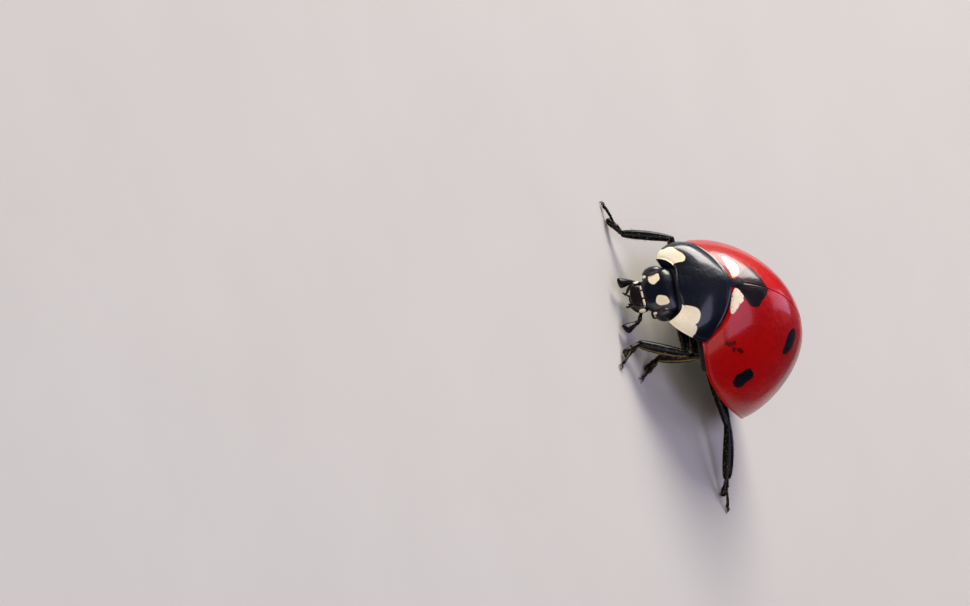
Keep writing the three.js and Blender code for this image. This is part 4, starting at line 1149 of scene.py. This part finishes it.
# Parts, their frame, hairs in each square millimetre, their length and half width in
# millimetres, lean, and seed. Real hairs are half as thick, and would be too fine to show.
BRISTLES = {
    "belly_bristles": ([thorax, abdomen], trunk_frame, 40, 0.07, 0.005, 1.6, 6),
    "leg_bristles": (haired_legs, floor_frame, 75, 0.085, 0.006, 1.1, 3),
    "pad_bristles": (haired_feet, floor_frame, 160, 0.07, 0.006, 0.9, 4),
    "mouth_bristles": (haired_mouth, head_frame, 60, 0.075, 0.0055, 1.0, 5),
}
bristles = bristle_tree()
for name, (shapes, place, density, length, thickness, lean, seed) in BRISTLES.items():
    skin = hair_skin(name + "_skin", shapes, place, underside=name == "belly_bristles")
    grown = skin.modifiers.new("bristles", "NODES")
    grown.node_group = bristles
    values = {"Per Square Millimetre": density, "Length": length * MM, "Thickness": thickness * MM,
              "Lean": lean, "Seed": seed, "Finish": bristle_chitin}
    for socket in bristles.interface.items_tree:
        if socket.in_out == "INPUT" and socket.name in values:
            grown[socket.identifier] = values[socket.name]
    depsgraph = bpy.context.evaluated_depsgraph_get()
    mesh = bpy.data.meshes.new_from_object(skin.evaluated_get(depsgraph))
    mesh.name = name
    mesh.materials.clear()
    mesh.materials.append(bristle_chitin)
    mesh.polygons.foreach_set("material_index", [0] * len(mesh.polygons))
    bpy.data.objects.remove(skin)
    coat = stand(name, mesh)
    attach(coat, "root")

# ---- Floor, lights and camera --------------------------------------------------------
# A plain pale floor, a large soft key light at the animal's right, two cool ones over its
# head and its back, a weak warm fill in front, and a lens far enough away to keep the
# body's proportions.

FLOOR_REACH = 1.5
floor_mesh = bpy.data.meshes.new("floor")
corners = [(x * FLOOR_REACH, y * FLOOR_REACH, 0) for x, y in ((-1, -1), (1, -1), (1, 1), (-1, 1))]
floor_mesh.from_pydata(corners, [], [(0, 1, 2, 3)])
paper, tree, shader, where = new_material("pale_studio_paper", Roughness=0.85)
mottle = node(tree, "ShaderNodeTexNoise", {"Vector": where, "Scale": per(6.0), "Detail": 3.0})
tint = node(tree, "ShaderNodeMix", {0: mottle, 1: colour("#b9b6ac"), 2: colour("#c0bdb3")}, data_type="RGBA")
dress(tree, shader, tint)
floor_mesh.materials.append(paper)
stand("floor", floor_mesh)

world = bpy.data.worlds.new("studio")
bpy.context.scene.world = world
world.use_nodes = True
sky = world.node_tree.nodes["Background"].inputs
sky["Color"].default_value = colour("#98a6cc")
sky["Strength"].default_value = 0.1
bpy.context.scene.view_settings.view_transform = "Standard"


def soft_box(name, place, target, size, power, code):
    """Rectangular light at a place in millimetres that faces a target."""
    lamp = bpy.data.lights.new(name, "AREA")
    lamp.shape = "RECTANGLE"
    lamp.size, lamp.size_y = size[0] * MM, size[1] * MM
    lamp.energy = power
    lamp.color = colour(code)[:3]
    made = stand(name, lamp)
    place, target = Vector(place) * MM, Vector(target) * MM
    aim = (target - place).to_track_quat("-Z", "Y").to_matrix().to_4x4()
    made.matrix_world = Matrix.Translation(place) @ aim
    made.visible_camera = False


def toward(azimuth, height):
    """Direction at an azimuth from the head's side and a height over the floor, in degrees."""
    azimuth, height = radians(azimuth), radians(height)
    return Vector((sin(azimuth) * cos(height), -cos(azimuth) * cos(height), sin(height)))


AIM = (0, 0, 2)
soft_box("key_light", toward(-84, 31) * 240, AIM, (130, 130), 0.97, "#fffaf4")
soft_box("rear_light", toward(-150, 48) * 220, AIM, (90, 150), 0.12, "#e0d8ff")
soft_box("overhead_light", toward(44, 63) * 195, AIM, (140, 105), 0.15, "#d8d4ff")
soft_box("front_light", toward(45, 20) * 230, AIM, (200, 200), 0.22, "#fff8f0")

IMAGE_WIDTH, IMAGE_HEIGHT = 970, 606
PIXELS_PER_MM = 31.198
CAMERA_RIGHT = Vector((0.0754, 0.4898, 0.8685))
CAMERA_UP = Vector((-0.8599, -0.4091, 0.3053))
CAMERA_BACK = Vector((0.5048, -0.7699, 0.3904))
ANCHOR, ANCHOR_PIXEL = trunk_frame.translation, (657.574, 303.078)
CAMERA_DISTANCE, SUBJECT_DEPTH = 400.0, 1.3
SENSOR_WIDTH = 36
camera_data = bpy.data.cameras.new("camera")
camera_data.sensor_width = SENSOR_WIDTH
camera_data.lens = SENSOR_WIDTH * CAMERA_DISTANCE / (IMAGE_WIDTH / PIXELS_PER_MM)
camera_data.clip_start, camera_data.clip_end = 0.005, 10
camera = stand("camera", camera_data)
middle = (
    ANCHOR + CAMERA_RIGHT * (IMAGE_WIDTH / 2 - ANCHOR_PIXEL[0]) / PIXELS_PER_MM
    - CAMERA_UP * (IMAGE_HEIGHT / 2 - ANCHOR_PIXEL[1]) / PIXELS_PER_MM
)
back = CAMERA_BACK.normalized()
middle += back * SUBJECT_DEPTH
across = CAMERA_UP.cross(back).normalized()
axes = Matrix((across, back.cross(across), back)).transposed().to_4x4()
camera.matrix_world = Matrix.Translation((middle + back * CAMERA_DISTANCE) * MM) @ axes
bpy.context.scene.camera = camera
